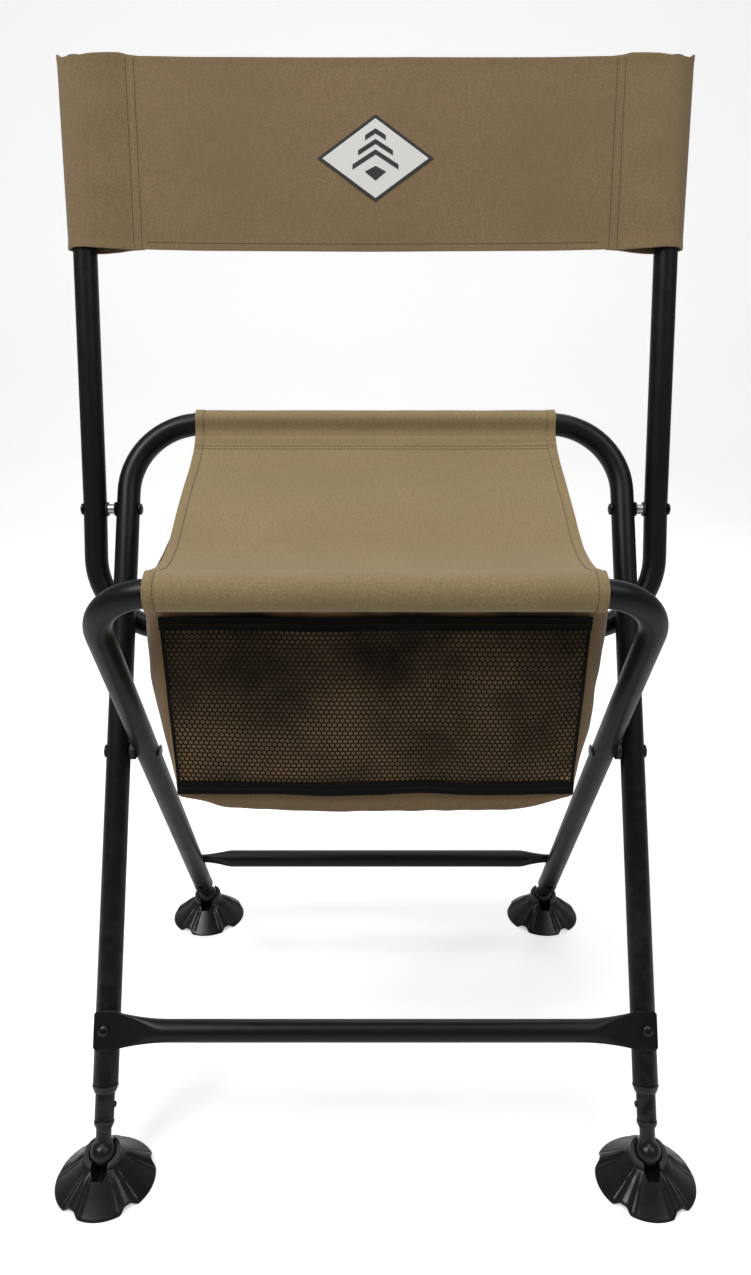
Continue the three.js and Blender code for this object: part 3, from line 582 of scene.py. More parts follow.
def canvas(name, base, netted=None):
    """Twill: fine diagonal ribs over crossed threads, with a soft sheen and uneven dye.

    netted is the box (low, high) of a net that the cloth lies behind; there the colour gets painted light
    and painted shade.
    """
    n = Nodes(name)
    where = n.coordinates(True)
    ribs = n.wave(where, per_wave(0.0013), 62)
    weft = n.wave(where, per_wave(0.0008), 0, 0.4)
    warp = n.wave(where, per_wave(0.0009), 90, 0.4)
    crossed = n.math("MULTIPLY", n.math("ADD", weft, warp), 0.2)
    threads = n.math("ADD", n.math("MULTIPLY", ribs, 0.6), crossed)
    cloudy = n.noise(where, 9, 4.0)
    fibre = n.noise(where, 520, 2.0)
    slub = n.noise(where, 260, 3.0, (1.0, 0.35, 1.0))
    light = tuple(min(1, c * 1.16) for c in base)
    dark = tuple(c * 0.74 for c in base)
    colour = n.mix(n.ramp(cloudy, 0.0, 1.0, 0.35, 0.65), tuple(c * 0.96 for c in base), light)
    colour = n.mix(n.ramp(fibre, 1.0, 0.0, 0.36, 0.64), colour, dark)
    colour = n.mix(n.ramp(slub, 0.0, 0.4, 0.42, 0.7), colour, tuple(c * 0.9 for c in dark))
    colour = n.mix(n.ramp(threads, 0.5, 0.0, 0.2, 0.8), colour, dark)
    if netted:
        # painted light and painted shade on the cloth behind the net
        colour = painted_light_and_shade_behind_net(n, colour, *netted)
    rough = n.ramp(threads, 0.95, 0.78, 0.2, 0.8)
    normal = n.bump(threads, 0.5, 0.0003)
    normal = n.bump(fibre, 0.35, 0.0004, normal)
    normal = n.bump(n.noise(where, 60, 3.0), 0.16, 0.0014, normal)
    return n.done(colour, rough, normal, specular_ior_level=0.3, sheen_weight=0.16, sheen_roughness=0.5)


def webbing(name, base):
    """Tape woven in ribs."""
    n = Nodes(name)
    where = n.coordinates(True)
    ribs = n.math("MULTIPLY", n.wave(where, per_wave(0.0016), 0), n.wave(where, per_wave(0.0011), 90, 0.3))
    colour = n.mix(ribs, tuple(c * 0.55 for c in base), tuple(c * 1.5 for c in base))
    rough = n.ramp(ribs, 0.9, 0.65, 0.1, 0.9)
    normal = n.bump(ribs, 0.5, 0.0004)
    return n.done(colour, rough, normal, specular_ior_level=0.16, sheen_weight=0.02, sheen_roughness=0.4)


def thread(name, base, sheen=0.2, shine=0.5):
    n = Nodes(name)
    where = n.coordinates()
    twist = n.wave(where, per_wave(0.0009), 40)
    colour = n.mix(twist, tuple(c * 0.8 for c in base), tuple(min(1, c * 1.15) for c in base))
    rough = n.ramp(n.noise(where, 900), 0.6, 0.85)
    return n.done(colour, rough, n.bump(twist, 0.4, 0.0002), sheen_weight=sheen, specular_ior_level=shine)


def printed(name, base):
    """Ink printed on canvas, with the weave showing through."""
    n = Nodes(name)
    where = n.coordinates()
    weave = n.math("MULTIPLY", n.wave(where, per_wave(0.0012), 0), n.noise(where, 600))
    colour = n.mix(n.ramp(weave, 0.0, 0.35, 0.0, 0.6), base, tuple(c * 0.75 for c in base))
    rough = n.ramp(n.noise(where, 300), 0.5, 0.75)
    return n.done(colour, rough, n.bump(weave, 0.2, 0.0002))


PAINT = powder_coat()
PLASTIC = moulded_plastic("black_plastic", (0.0042, 0.0050, 0.0056), (0.0065, 0.0076, 0.0083), 0.24, 0.36)
RUBBERY = moulded_plastic("pivot_plastic", (0.008, 0.008, 0.009), (0.012, 0.012, 0.013), 0.45, 0.6)
STEEL = plated("bright_steel", (0.55, 0.56, 0.58), 0.2, 0.38)
DULL_STEEL = plated("dull_steel", (0.16, 0.16, 0.165), 0.3, 0.48)
BLACK_ZINC = plated("black_zinc", (0.05, 0.05, 0.053), 0.24, 0.4)
BACK_CLOTH = canvas("back_canvas", (0.246, 0.168, 0.082))
SEAT_CLOTH = canvas("seat_canvas", (0.285, 0.207, 0.097))
# the bag's canvas gets painted light and painted shade behind the net pocket
BAG_CLOTH = canvas("bag_canvas", (0.205, 0.136, 0.064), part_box("net_pocket"))
NET = thread("netting", (0.0040, 0.0034, 0.0028), 0.0, 0.12)
TAPE = webbing("black_tape", (0.0026, 0.0026, 0.0028))
TAN_THREAD = thread("tan_thread", (0.062, 0.042, 0.022))
BLACK_THREAD = thread("black_thread", (0.006, 0.006, 0.006), 0.05, 0.3)
INK_DARK = printed("emblem_ink_dark", (0.018, 0.017, 0.016))
INK_LIGHT = printed("emblem_ink_light", (0.72, 0.71, 0.68))


# ---------------------------------------------------------------- tube frames

def across_wall(plane, x, z, side, radius_mm):
    """A cutter through one wall of a leg; side is the wall's sign along the plane's y."""
    turn = Matrix.Rotation(math.radians(-90 * side), 4, "X")
    return moved(rod(radius_mm, 22, 20), plane.matrix(x, 0, z) @ turn)


def leg_frame(legs, bend):
    """A seat bar and two legs from one bent tube, with two lock holes in each leg."""
    half, foot = legs.half, legs.ball_z + legs.tube_end
    corners = [(-half, foot), (-half, legs.bar_z), (half, legs.bar_z), (half, foot)]
    points, heads = bent_path([legs.plane.at(x, 0, z) for x, z in corners], bend)
    obj = new_object(f"{legs.kind}_leg_tube", tube(points, heads, TUBE_R, TUBE_R - TUBE_WALL))
    holes = [
        across_wall(legs.plane, sign * half, legs.lock_z - step, legs.side, HOLE_R + 0.1)
        for _, sign in SIDES
        for step in (0, HOLE_PITCH)
    ]
    cut(obj, *holes)
    finish_piece(obj, PAINT, legs.body, [legs.node])


def back_frame(drop=0.134, kink_degrees=3.5):
    """Two uprights and the low bar; below the pivots the tube kinks forward a little."""
    kink = math.radians(kink_degrees)
    y, z = -drop * math.sin(kink), -drop * math.cos(kink)
    side = [(-BACK_HALF, 0, BACK_TOP), (-BACK_HALF, 0, 0), (-BACK_HALF, y, z)]
    corners = side + [(-x, y, z) for x, y, z in reversed(side)]
    points, heads = bent_path([BACK.at(*corner) for corner in corners])
    part = tube(points, heads, TUBE_R, TUBE_R - TUBE_WALL)
    piece("backrest_tube", part, PAINT, "backrest", ["backrest_frame"])


leg_frame(FRONT, 0.08)
leg_frame(REAR, 0.06)
back_frame()

# ---------------------------------------------------------------- crossbars

BAR_R = 11.25  # mm, of the round stretch
BAR_PRESSED = 1.75  # mm, half the thickness of the flat ends
PLATE_HALF = 12.5  # mm, half the length of the flat that lies on the leg


def crossbar(half, plate_tall, flare, side):
    """A round tube pressed flat at both ends, along X, lying on the given side of the legs.

    plate_tall is half the height of the flat ends and flare the length of the taper, in mm.
    """
    half_mm = half * MM
    length = half_mm + PLATE_HALF - 2.5
    flat = 2 * PLATE_HALF
    xs = np.r_[np.linspace(0, half_mm - flare - 30, 8), np.linspace(half_mm - flare - 24, length, 34)]
    xs = np.r_[-xs[::-1][:-1], xs]
    segs = 40
    verts = []
    for x in xs:
        from_end = length - abs(x)
        pressed = 1 - float(smooth(flat - 6, flat + flare - 12, from_end))
        taper = float(np.clip((from_end - flat + 3) / (flare - 6), 0, 1))
        tall = 0.16 * (1 - float(smooth(flat - 3, flat + 2, from_end))) + 0.84 * (1 - taper) ** 2.1
        power = 1 - 0.78 * pressed
        tip = 0.86 + 0.14 * math.sqrt(max(0.0, 1 - (max(0.0, 4 - from_end) / 4) ** 2))
        dimple = 0.4 * pressed * float(smooth(20, 40, from_end))
        dimple *= 1 - float(smooth(40, flat + flare, from_end))
        for k in range(segs):
            c, s = math.cos(2 * math.pi * k / segs), math.sin(2 * math.pi * k / segs)
            y = math.copysign(abs(c) ** power, c) * (BAR_R + (BAR_PRESSED - BAR_R) * pressed)
            z = math.copysign(abs(s) ** power, s) * (BAR_R + (plate_tall - BAR_R) * min(1.0, tall)) * tip
            verts.append((x / MM, y * (1 - dimple * (1 - abs(s))) / MM, z / MM))
    last = (len(xs) - 1) * segs
    faces = [tuple(range(segs - 1, -1, -1)), tuple(range(last, last + segs))]
    for low in range(0, last, segs):
        for k in range(segs):
            n = (k + 1) % segs
            faces.append((low + k, low + n, low + segs + n, low + segs + k))
    verts = np.array(verts)
    verts[:, 1] = side * (verts[:, 1] + TUBE_R + GAP + BAR_PRESSED / MM)
    return verts, faces


def screw():
    """A domed cross-head screw along Z; its seat is at height 0."""
    shank = [(0, -1.5), (2.6, -1.5), (2.6, 0)]
    head = [(6, 0), (6, 0.7), (5.4, 1.7), (4.2, 2.6), (2.4, 3.2), (0, 3.4)]
    return lathe(shank + head, 32)


def cross_recess():
    bar = box_part((-0.00055, -0.0026, 0.0018), (0.00055, 0.0026, 0.006))
    return [moved(bar, Matrix.Rotation(math.radians(turn), 4, "Z")) for turn in (45, -45)]


def add_crossbar(legs, up, plate_tall, flare):
    """A crossbar with its two screws, on the side of the legs away from the lock buttons."""
    side, z = -legs.side, legs.ball_z + up
    bar = moved(crossbar(legs.half, plate_tall, flare, side), legs.plane.matrix(0, 0, z))
    piece(f"{legs.kind}_crossbar_tube", bar, PAINT, legs.body, [f"{legs.kind}_crossbar"])
    seat = TUBE_R + GAP + 2 * BAR_PRESSED / MM
    turn = Matrix.Rotation(math.radians(-90 * side), 4, "X")
    for name, sign in SIDES:
        place = legs.plane.matrix(sign * legs.half, side * seat, z) @ turn
        obj = new_object(f"{legs.kind}_bar_screw_{name}", moved(screw(), place))
        for recess in cross_recess():
            cut(obj, moved(recess, place))
        node = f"{legs.kind}_crossbar_screw_{name}"
        finish_piece(obj, BLACK_ZINC, legs.body, [node])


add_crossbar(FRONT, 0.121, 19.5, 62)
add_crossbar(REAR, 0.100, 11.5, 46)

# ---------------------------------------------------------------- pivots and caps

def rivet(shaft, head, height, start, length):
    """A shaft with a domed head at each end; the inner head's seat is at height start."""
    arch = [math.radians(a) for a in range(0, 90, 15)]
    dome = [(head * math.cos(a), height * (0.3 + 0.7 * math.sin(a))) for a in arch]
    end = start + length
    profile = [(0, start - height)] + [(r, start - h) for r, h in reversed(dome)]
    profile += [(head, start), (shaft, start), (shaft, end), (head, end)]
    return lathe(profile + [(r, end + h) for r, h in dome] + [(0, end + height)], 36)


def washer(inner, outer, low, high, edge=0.25):
    profile = [(inner, low), (outer - edge, low), (outer, low + edge)]
    profile += [(outer, high - edge), (outer - edge, high), (inner, high)]
    return lathe(profile, 36, ring=True)


def walls(half):
    """The inner and the outer face of a leg, from the chair's middle, in mm."""
    return (half - TUBE_R) * MM, (half + TUBE_R) * MM


def add_pivots(name, sign):
    front_in, front_out = walls(FRONT.half)
    rear_in, rear_out = walls(REAR.half)
    back_in, back_out = walls(BACK_HALF)
    gap, bore = GAP * MM, 3.6
    outwards = Matrix.Rotation(math.radians(90 * sign), 4, "Y")
    leg_pivot = FRONT.plane.matrix() @ outwards
    back_pivot = FRONT.plane.matrix(0, 0, BACK_PIVOT_Z) @ outwards
    leg_rivet = rivet(4, 7, 2.2, rear_in - gap, front_out - rear_in + 2 * gap)
    leg_spacer = washer(4.3, 9, rear_out + gap, front_in - gap)
    back_rivet = rivet(3.3, 6.5, 3.2, front_in - gap, back_out - front_in + 2 * gap)
    inner_washer = washer(bore, 8, front_out + gap, front_out + 1.9)
    outer_washer = washer(bore, 8, back_in - 1.9, back_in - gap)
    sleeve = washer(bore, 5.6, front_out + 2.2, back_in - 2.2)
    for title, part, place, material, slot, node in (
        ("leg_rivet", leg_rivet, leg_pivot, DULL_STEEL, "bright_steel", "leg_pivot_rivet"),
        ("leg_spacer", leg_spacer, leg_pivot, RUBBERY, "black_plastic", "leg_pivot_spacer"),
        ("back_rivet", back_rivet, back_pivot, BLACK_ZINC, "black_hardware", "backrest_pivot_rivet"),
        ("inner_washer", inner_washer, back_pivot, RUBBERY, "black_plastic", "backrest_inner_washer"),
        ("outer_washer", outer_washer, back_pivot, RUBBERY, "black_plastic", "backrest_outer_washer"),
        ("pivot_sleeve", sleeve, back_pivot, STEEL, "bright_steel", "backrest_pivot_sleeve"),
    ):
        piece(f"{title}_{name}", moved(part, place), material, "front_legs", [f"{node}_{name}"])


def add_cap(name, sign):
    profile = [(0, -14), (8.8, -14), (10.9, -12), (10.9, 0.3), (12.7, 0.3)]
    profile += [(12.7, 1.3), (12.0, 2.3), (10.6, 2.9), (0, 2.9)]
    part = moved(lathe(profile, 40), BACK.matrix(sign * BACK_HALF, 0, BACK_TOP))
    piece(f"top_cap_{name}", part, PLASTIC, "backrest", [f"upright_cap_{name}"])


for name, sign in SIDES:
    add_pivots(name, sign)
    add_cap(name, sign)

# ---------------------------------------------------------------- legs

def ball_stud():
    """The stem with its collar and ball, the ball's centre at height 0."""
    ball_mm, stem_mm = BALL_R * MM, STEM_R * MM
    profile = arc(ball_mm, 0, -90, math.degrees(math.acos(STEM_R / BALL_R)), 22)
    profile[0] = (0, -ball_mm)
    profile += [(stem_mm, 12), (stem_mm, 23), (9.6, 27), (10.15, 27.8), (10.15, 30.6)]
    return lathe(profile + [(9.8, 31), (8.1, 31), (8.1, 57), (7.2, 58), (0, 58)], 48)


def extension(tube_end):
    low, high, chamfer = 31.3, tube_end * MM + 60, 0.3
    profile = [(8.45, low), (9.35, low), (9.65, low + chamfer)]
    return lathe(profile + [(9.65, high - chamfer), (9.35, high), (8.45, high)], 40, ring=True)


def ferrule():
    """The guide in the end of an outer tube, with a tapered lip below it; the end is height 0."""
    profile = [(9.95, -8), (10.6, -8), (11.3, -6.6), (12.8, -2.6), (13.1, -1.6), (13.1, -0.3)]
    return lathe(profile + [(10.9, -0.3), (10.9, 10), (9.95, 10)], 40, ring=True)


def button(base, flange_top, flange, top):
    """A pin with a domed end and a flange that stays under the wall."""
    profile = [(0, base), (flange, base), (flange, flange_top), (3.1, flange_top), (3.1, top - 1.9)]
    return lathe(profile + [(2.9, top - 1.1), (2.3, top - 0.5), (1.3, top - 0.12), (0, top)], 24)


def leaf_spring():
    """A V of spring leaf for a button towards Y at height 0."""
    near, far, top = 4.6, -7.2, 23.6

    def curve(a, b, c):
        t = np.linspace(0, 1, 12)[:, None]
        points = (1 - t) ** 2 * np.array(a) + 2 * t * (1 - t) * np.array(b) + t * t * np.array(c)
        return points.tolist()

    line = [(near, -5), (near, 0)] + curve((near, 5), (near, 22), (0, top))
    line += curve((0, top), (far, 22), (far, 10))[1:] + [(far, 5), (far, 0)]
    widths = (-0.0025, -0.0021, 0, 0.0021, 0.0025)
    return shell(np.array([[(x, y / MM, z / MM) for x in widths] for y, z in line]), 0.00035)


def add_lock(legs, name, sign):
    """The button that locks a leg's length, and its spring."""
    tag = f"{legs.kind}_{name}"
    x, side = sign * legs.half, legs.side
    at_lock = legs.plane.matrix(x, 0, legs.lock_z)
    press = moved(button(5.4, 6.6, 4.4, 14.7), at_lock @ Matrix.Rotation(math.radians(-90 * side), 4, "X"))
    piece(f"leg_button_{tag}", press, BLACK_ZINC, f"lock_{tag}", [f"lock_button_{tag}"])
    leaf = moved(leaf_spring(), at_lock @ Matrix.Rotation(math.radians(90 - 90 * side), 4, "Z"))
    spring = piece(f"leaf_spring_{tag}", leaf, STEEL, f"leg_{tag}", [f"lock_spring_{tag}"])
    far_leaf = legs.plane.at(x, -0.0076 * side, legs.lock_z)
    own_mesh(spring)


def add_leg(legs, name, sign, has_stud_button):
    """The parts between a leg's outer tube and its foot."""
    tag = f"{legs.kind}_{name}"
    x = sign * legs.half
    base = legs.plane.matrix(x, 0, legs.ball_z)
    tube_in = new_object(f"extension_{tag}", moved(extension(legs.tube_end), base))
    stem = new_object(f"stem_{tag}", moved(ball_stud(), base))
    cut(tube_in, across_wall(legs.plane, x, legs.lock_z, legs.side, HOLE_R))
    if has_stud_button:
        inwards = Matrix.Rotation(math.radians(-90 * sign), 4, "Y")
        place = legs.plane.matrix(x, 0, legs.ball_z + STUD_UP) @ inwards
        cut(tube_in, moved(rod(HOLE_R, 20, 20), place))
        cut(stem, moved(rod(HOLE_R, 20, 20), place @ Matrix.Translation((0, 0, 0.0014))))
        press = moved(button(4.6, 5, 3.15, 12.05), place)
        body, node = f"stud_lock_{name}", f"stud_button_{name}"
        piece(f"stem_button_{name}", press, BLACK_ZINC, body, [node])
    finish_piece(tube_in, PAINT, f"leg_{tag}", [f"leg_extension_{tag}"])
    finish_piece(stem, PLASTIC, f"leg_{tag}", [f"ball_stud_{tag}"])
    guide = moved(ferrule(), legs.plane.matrix(x, 0, legs.ball_z + legs.tube_end))
    piece(f"ferrule_{tag}", guide, PLASTIC, legs.body, [f"leg_ferrule_{tag}"])


# ---------------------------------------------------------------- feet

PETALS = 5
PAD_R = 50
BALL_UP = 35  # mm, the ball's centre above the ground
CONE_TOP = [(0, 29), (9, 29), (17, 29), (19, 28.4), (20.5, 27.2), (23, 25), (26, 22.4), (30, 18.9)]
CONE_TOP += [(34, 15.3), (38, 11.8), (42, 8.4), (45.5, 5.5), (48.2, 3.4), (49.5, 2.4), (PAD_R, 1.6)]
CONE_UNDER = [(PAD_R, 0.3), (49.7, 0), (43, 0), (41.8, 0.9), (37, 6.2), (30, 12)]
CONE_UNDER += [(22, 14.6), (14.5, 16), (0, 16)]


def petal_point(radius, height, degrees, turn, upper):
    """Where a point of the plain cone goes once the cone is shaped into petals and ribs."""
    sector = 360 / PETALS
    off = abs((degrees + 90 - turn + sector / 2) % sector - sector / 2)
    to_rib = sector / 2 - off
    outward = float(smooth(18, 30, radius))
    rib = float(1 - smooth(3.0, 12.5, to_rib))
    crown = math.cos(math.radians(min(off, 24) * 90 / 24))
    grow = 0.55 + 0.45 * radius / PAD_R
    if upper:
        line = math.exp(-(((to_rib - 13.8) / 1.2) ** 2)) * (radius < 49)
        rise = outward * (rib * 5.4 * grow + line * 0.8 - crown * 0.9)
    elif radius < 49:
        rise = outward * rib * 3.8 * grow * float(smooth(20, 40, radius))
    else:
        rise = outward * rib * 4.4
    reach = radius * (1 - outward * (rib * 3.4 - 0.5 * crown) / PAD_R)
    a = math.radians(degrees)
    return reach * math.cos(a) / MM, reach * math.sin(a) / MM, (height + rise - BALL_UP) / MM


def petalled_cone(turn):
    """The foot's cone as a closed solid, with the ball's centre at the origin."""
    segs = 180
    verts, rows = [], []
    for index, (radius, height) in enumerate(CONE_TOP + CONE_UNDER):
        if radius == 0:
            rows.append([len(verts)] * segs)
            verts.append((0, 0, (height - BALL_UP) / MM))
            continue
        rows.append(list(range(len(verts), len(verts) + segs)))
        upper = index < len(CONE_TOP)
        verts += [petal_point(radius, height, 360 * k / segs, turn, upper) for k in range(segs)]
    faces = []
    for low, high in zip(rows, rows[1:]):
        for k in range(segs):
            n = (k + 1) % segs
            face = tuple(dict.fromkeys([low[k], low[n], high[n], high[k]]))
            if len(face) > 2:
                faces.append(face)
    return np.array(verts), faces


def slot_window(half):
    """A cutter for the narrowing gap below the slot, at the front of the cup."""
    right = [(half, 0.001), (half, -0.007), (0.0022, -0.0165)]
    outline = right + [(-x, z) for x, z in reversed(right)]
    n = len(outline)
    verts = np.array([(x, y, z) for y in (-0.0245, -0.0066) for x, z in outline])
    sides = [(i, (i + 1) % n, (i + 1) % n + n, i + n) for i in range(n)]
    return verts, [tuple(range(n)), tuple(range(2 * n - 1, n - 1, -1))] + sides


def foot(name, turn, place):
    """The cone and its cup, with the ball's socket, the stem's slot and the mouth cut out."""
    cup = [(0, -16), (18.5, -16), (18.7, -5.4), (18.2, 2.2), (17.2, 4.9), (16, 6.2), (14.9, 6.6), (0, 6.6)]
    obj = new_object(name, petalled_cone(turn))
    combine(obj, lathe(cup, 64), "UNION")
    socket_r = 14.1
    socket = arc(socket_r, 0, -90, 90, 24)
    socket[0], socket[-1] = (0, -socket_r), (0, socket_r)
    half = STEM_R + 0.0005
    lean = Matrix.Translation((0, 0, 0.0022)) @ Matrix.Rotation(math.radians(15.5), 4, "X")
    cut(obj, lathe(socket, 64))
    cut(obj, box_part((-half, -0.035, -0.0015), (half, 0.035, 0.02)))
    cut(obj, slot_window(half))
    cut(obj, rod(9.75, 26, 40))
    cut(obj, moved(box_part((-0.03, -0.04, 0), (0.03, 0.04, 0.03)), lean))
    obj.data.transform(place)
    return obj


def add_foot(legs, name, sign):
    tag = f"{legs.kind}_{name}"
    place = Matrix.Translation((sign * legs.half, legs.ball.y, legs.ball.z))
    pad = foot(f"foot_{tag}", -6 * sign, place)
    finish_piece(pad, PLASTIC, f"foot_{tag}", [f"foot_pad_{tag}"], sharp=32)


for legs in (FRONT, REAR):
    for name, sign in SIDES:
        add_leg(legs, name, sign, has_stud_button=legs is FRONT)
        add_lock(legs, name, sign)
        add_foot(legs, name, sign)

# ---------------------------------------------------------------- sling seat

WEB_HANG = [(0.074, -0.0100), (0.16, -0.0250), (0.25, -0.0345), (0.34, -0.0385), (0.43, -0.0376)]
WEB_HANG += [(0.54, -0.0352), (0.66, -0.0345), (0.80, -0.0343), (0.90, -0.0292), (0.955, -0.0180)]
front_yz = np.array(FRONT_BAR.yz)
rear_yz = np.array(REAR_BAR.yz)


def ripple(x, y, scale, seed):
    return noise.noise(Vector((x * scale, y * scale, seed)))


def on_bar(centre, degrees, radius):
    return centre + np.array([math.cos(math.radians(degrees)), math.sin(math.radians(degrees))]) * radius


def sling_line():
    """The seat's section in the Y-Z plane: front sleeve, hanging web and rear sleeve."""
    f, r = front_yz, rear_yz
    web = np.array([f + (r - f) * share + [0, 0.0145 + drop] for share, drop in WEB_HANG])
    under = np.array([0, -0.0026])
    front = [web[1] + under, web[0] + under * 1.6]
    front += [f + [0.0165, -0.0035], f + [0.009, -0.0118], f + [-0.001, -0.0144]]
    front += [on_bar(f, angle, 0.0144) for angle in (235, 200, 165, 130)]
    front += [f + [-0.0010, 0.0149], f + [0.0075, 0.0160], f + [0.0160, 0.0128]]
    back = [on_bar(r, angle, 0.0143) for angle in (150, 118, 80, 40, 0, -40, -75)]
    back += [r + [-0.010, -0.0155], web[-1] + [-0.0035, -0.0035]]
    back += [web[-2] + [-0.0020, -0.0024], web[-3] + under]
    return spline(front + list(web) + back, 0.0024), web


def sling_grid(line):
    """Points along the section and across the seat, with the cloth's half thickness at each."""
    edge = np.r_[np.linspace(0, 0.004, 3), 0.0085, 0.0092, 0.012]
    inner = SLING_HALF - 0.02
    xs = np.r_[-SLING_HALF + edge, np.linspace(-inner, inner, 66), (SLING_HALF - edge)[::-1]]
    run = lengths(line)
    head = np.gradient(line, axis=0)
    head /= np.linalg.norm(head, axis=1, keepdims=True)
    up = np.stack([-head[:, 1], head[:, 0]], axis=1)
    bar_gap = np.minimum(np.linalg.norm(line - front_yz, axis=1), np.linalg.norm(line - rear_yz, axis=1))
    free = smooth(0.02, 0.07, bar_gap)
    grid = np.zeros((len(line), len(xs), 3))
    weave = np.zeros_like(grid)
    for i, s in enumerate(run):
        narrow = 0.957 + 0.048 * (line[i, 0] - FRONT_BAR.y) / (REAR_BAR.y - FRONT_BAR.y)
        for j, x in enumerate(xs):
            near_edge = float(1 - smooth(0, 0.05, SLING_HALF - abs(x)))
            lift = free[i] * (0.0011 * ripple(x, s, 9, 1.0) + 0.0006 * ripple(x * 0.6, s, 24, 3.0))
            lift += free[i] * 0.0025 * near_edge
            lift += (1 - free[i]) * 0.00035 * (1 + ripple(x, s, 30, 7.0))
            grid[i, j] = (x * narrow, line[i, 0] + up[i, 0] * lift, line[i, 1] + up[i, 1] * lift)
            weave[i, j] = (x, s, 0)
    hem = 1 - smooth(0.0085, 0.0092, SLING_HALF - np.abs(xs))
    return grid, np.tile(0.0008 + 0.0006 * hem, (len(line), 1)), weave, run


def add_sling(line):
    """The seat's cloth and its stitching."""
    grid, half, weave, run = sling_grid(line)
    normals = np.cross(np.gradient(grid, axis=0), np.gradient(grid, axis=1))
    normals /= np.linalg.norm(normals, axis=2, keepdims=True)
    if normals[len(grid) // 2, grid.shape[1] // 2, 2] < 0:
        normals = -normals
    cloth = new_object("sling", shell(grid, half, normals))
    finish_piece(cloth, SEAT_CLOTH, None, ["seat_sling"], 50, both_sides(weave))
    top = grid + normals * half[..., None]
    hem_column = 4
    seams = [stitches(top[:, j], normals[:, j]) for j in (hem_column, grid.shape[1] - 1 - hem_column)]
    upper = np.where((run > run[-1] * 0.3) & (run < run[-1] * 0.84))[0]
    for behind_bar in (0.028, 0.0325):
        i = int(upper[np.argmin(np.abs(grid[upper, 40, 1] - (REAR_BAR.y - behind_bar)))])
        seams.append(stitches(top[i], normals[i]))
    sewing = piece("sling_stitching", joined(*seams), TAN_THREAD)
    for obj in (cloth, sewing):
        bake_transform(obj)


section, web = sling_line()
add_sling(section)

# ---------------------------------------------------------------- backrest cover

COVER_LOW = 0.2767
COVER_HIGH = 0.4702
SEAM_X = BACK_HALF - 0.0545
EDGE_X = [0, 0.19, 0.245, 0.268, 0.295]
EDGE_X += [BACK_HALF + offset for offset in (-0.004, 0.007, 0.014, 0.021)]
TOP_EDGE = [0, 0, 0.0010, 0.0026, -0.0016, -0.0046, -0.0050, -0.0040, 0.0022]
LOW_EDGE = [-0.0016, -0.0006, 0.0006, 0.0, -0.0004, 0.0, 0.0, 0.0, 0.0]


def cover_plan(t):
    """Half of the cover's plan, from the middle out, round the upright and back to the seam."""
    out = 0.0172 + 0.0042 * t
    h, s = BACK_HALF, SEAM_X
    front = [(0, -0.0008), (0.12, -0.0008), (s - 0.03, -0.0010), (s - 0.004, -0.0014), (s + 0.004, -0.0022)]
    front += [(h - 0.034, -0.0082), (h - 0.018, -0.0128), (h - 0.006, -0.0145), (h + 0.005, -0.0137)]
    tip = [(h + 0.012, -0.0098), (h + out - 0.0018, -0.0036), (h + out, 0.0), (h + out - 0.0018, 0.0036)]
    rear = [(h + 0.012, 0.0098), (h + 0.005, 0.0137), (h - 0.006, 0.0145), (h - 0.018, 0.0128)]
    rear += [(h - 0.034, 0.0088), (s + 0.006, 0.0026), (s - 0.004, 0.0012), (s - 0.010, 0.0011)]
    return front + tip + rear


def cover_grid(count=150):
    """Points up the cover and across it, from the left seam round the front to the right seam."""
    rise = np.linspace(COVER_LOW + 0.004, COVER_HIGH - 0.004, 56)
    heights = np.r_[COVER_LOW, COVER_LOW + 0.0012, rise, COVER_HIGH - 0.0012, COVER_HIGH]
    share = (heights - COVER_LOW) / (COVER_HIGH - COVER_LOW)
    rows = []
    for t in share:
        right = spline(cover_plan(t), 0.002)
        right = resampled(right, lengths(right)[-1] / (count - 1))[:count]
        rows.append(np.vstack([right[:0:-1] * [-1, 1], right]))
    plan = np.array(rows)
    along = lengths(plan[0])
    grid = np.zeros((*plan.shape[:2], 3))
    weave = np.zeros_like(grid)
    for i, (z, t) in enumerate(zip(heights, share)):
        for j, (x, y) in enumerate(plan[i]):
            reach = abs(x)
            shift = t * np.interp(reach, EDGE_X, TOP_EDGE) + (1 - t) * np.interp(reach, EDGE_X, LOW_EDGE)
            shift -= t * 0.0022 * float(smooth(-0.004, 0.006, y))
            flat = float(1 - smooth(SEAM_X - 0.05, SEAM_X, reach))
            pocket = float(smooth(SEAM_X, SEAM_X + 0.02, reach))
            pocket *= float(1 - smooth(BACK_HALF - 0.012, BACK_HALF - 0.004, reach))
            wave = flat * (0.0008 * ripple(x * 0.5, z, 14, 11.0) + 0.0004 * ripple(x, z, 40, 5.0))
            wave += pocket * 0.0014 * ripple(x * 0.7, z * 1.4, 22, 17.0)
            pull = math.exp(-(((reach - SEAM_X + 0.008) / 0.006) ** 2)) * 0.0005 * math.sin(z * 900)
            grid[i, j] = BACK.at(x, y + wave + pull, z + shift)
            weave[i, j] = (along[j], z, 0)
    return grid, weave, heights, plan


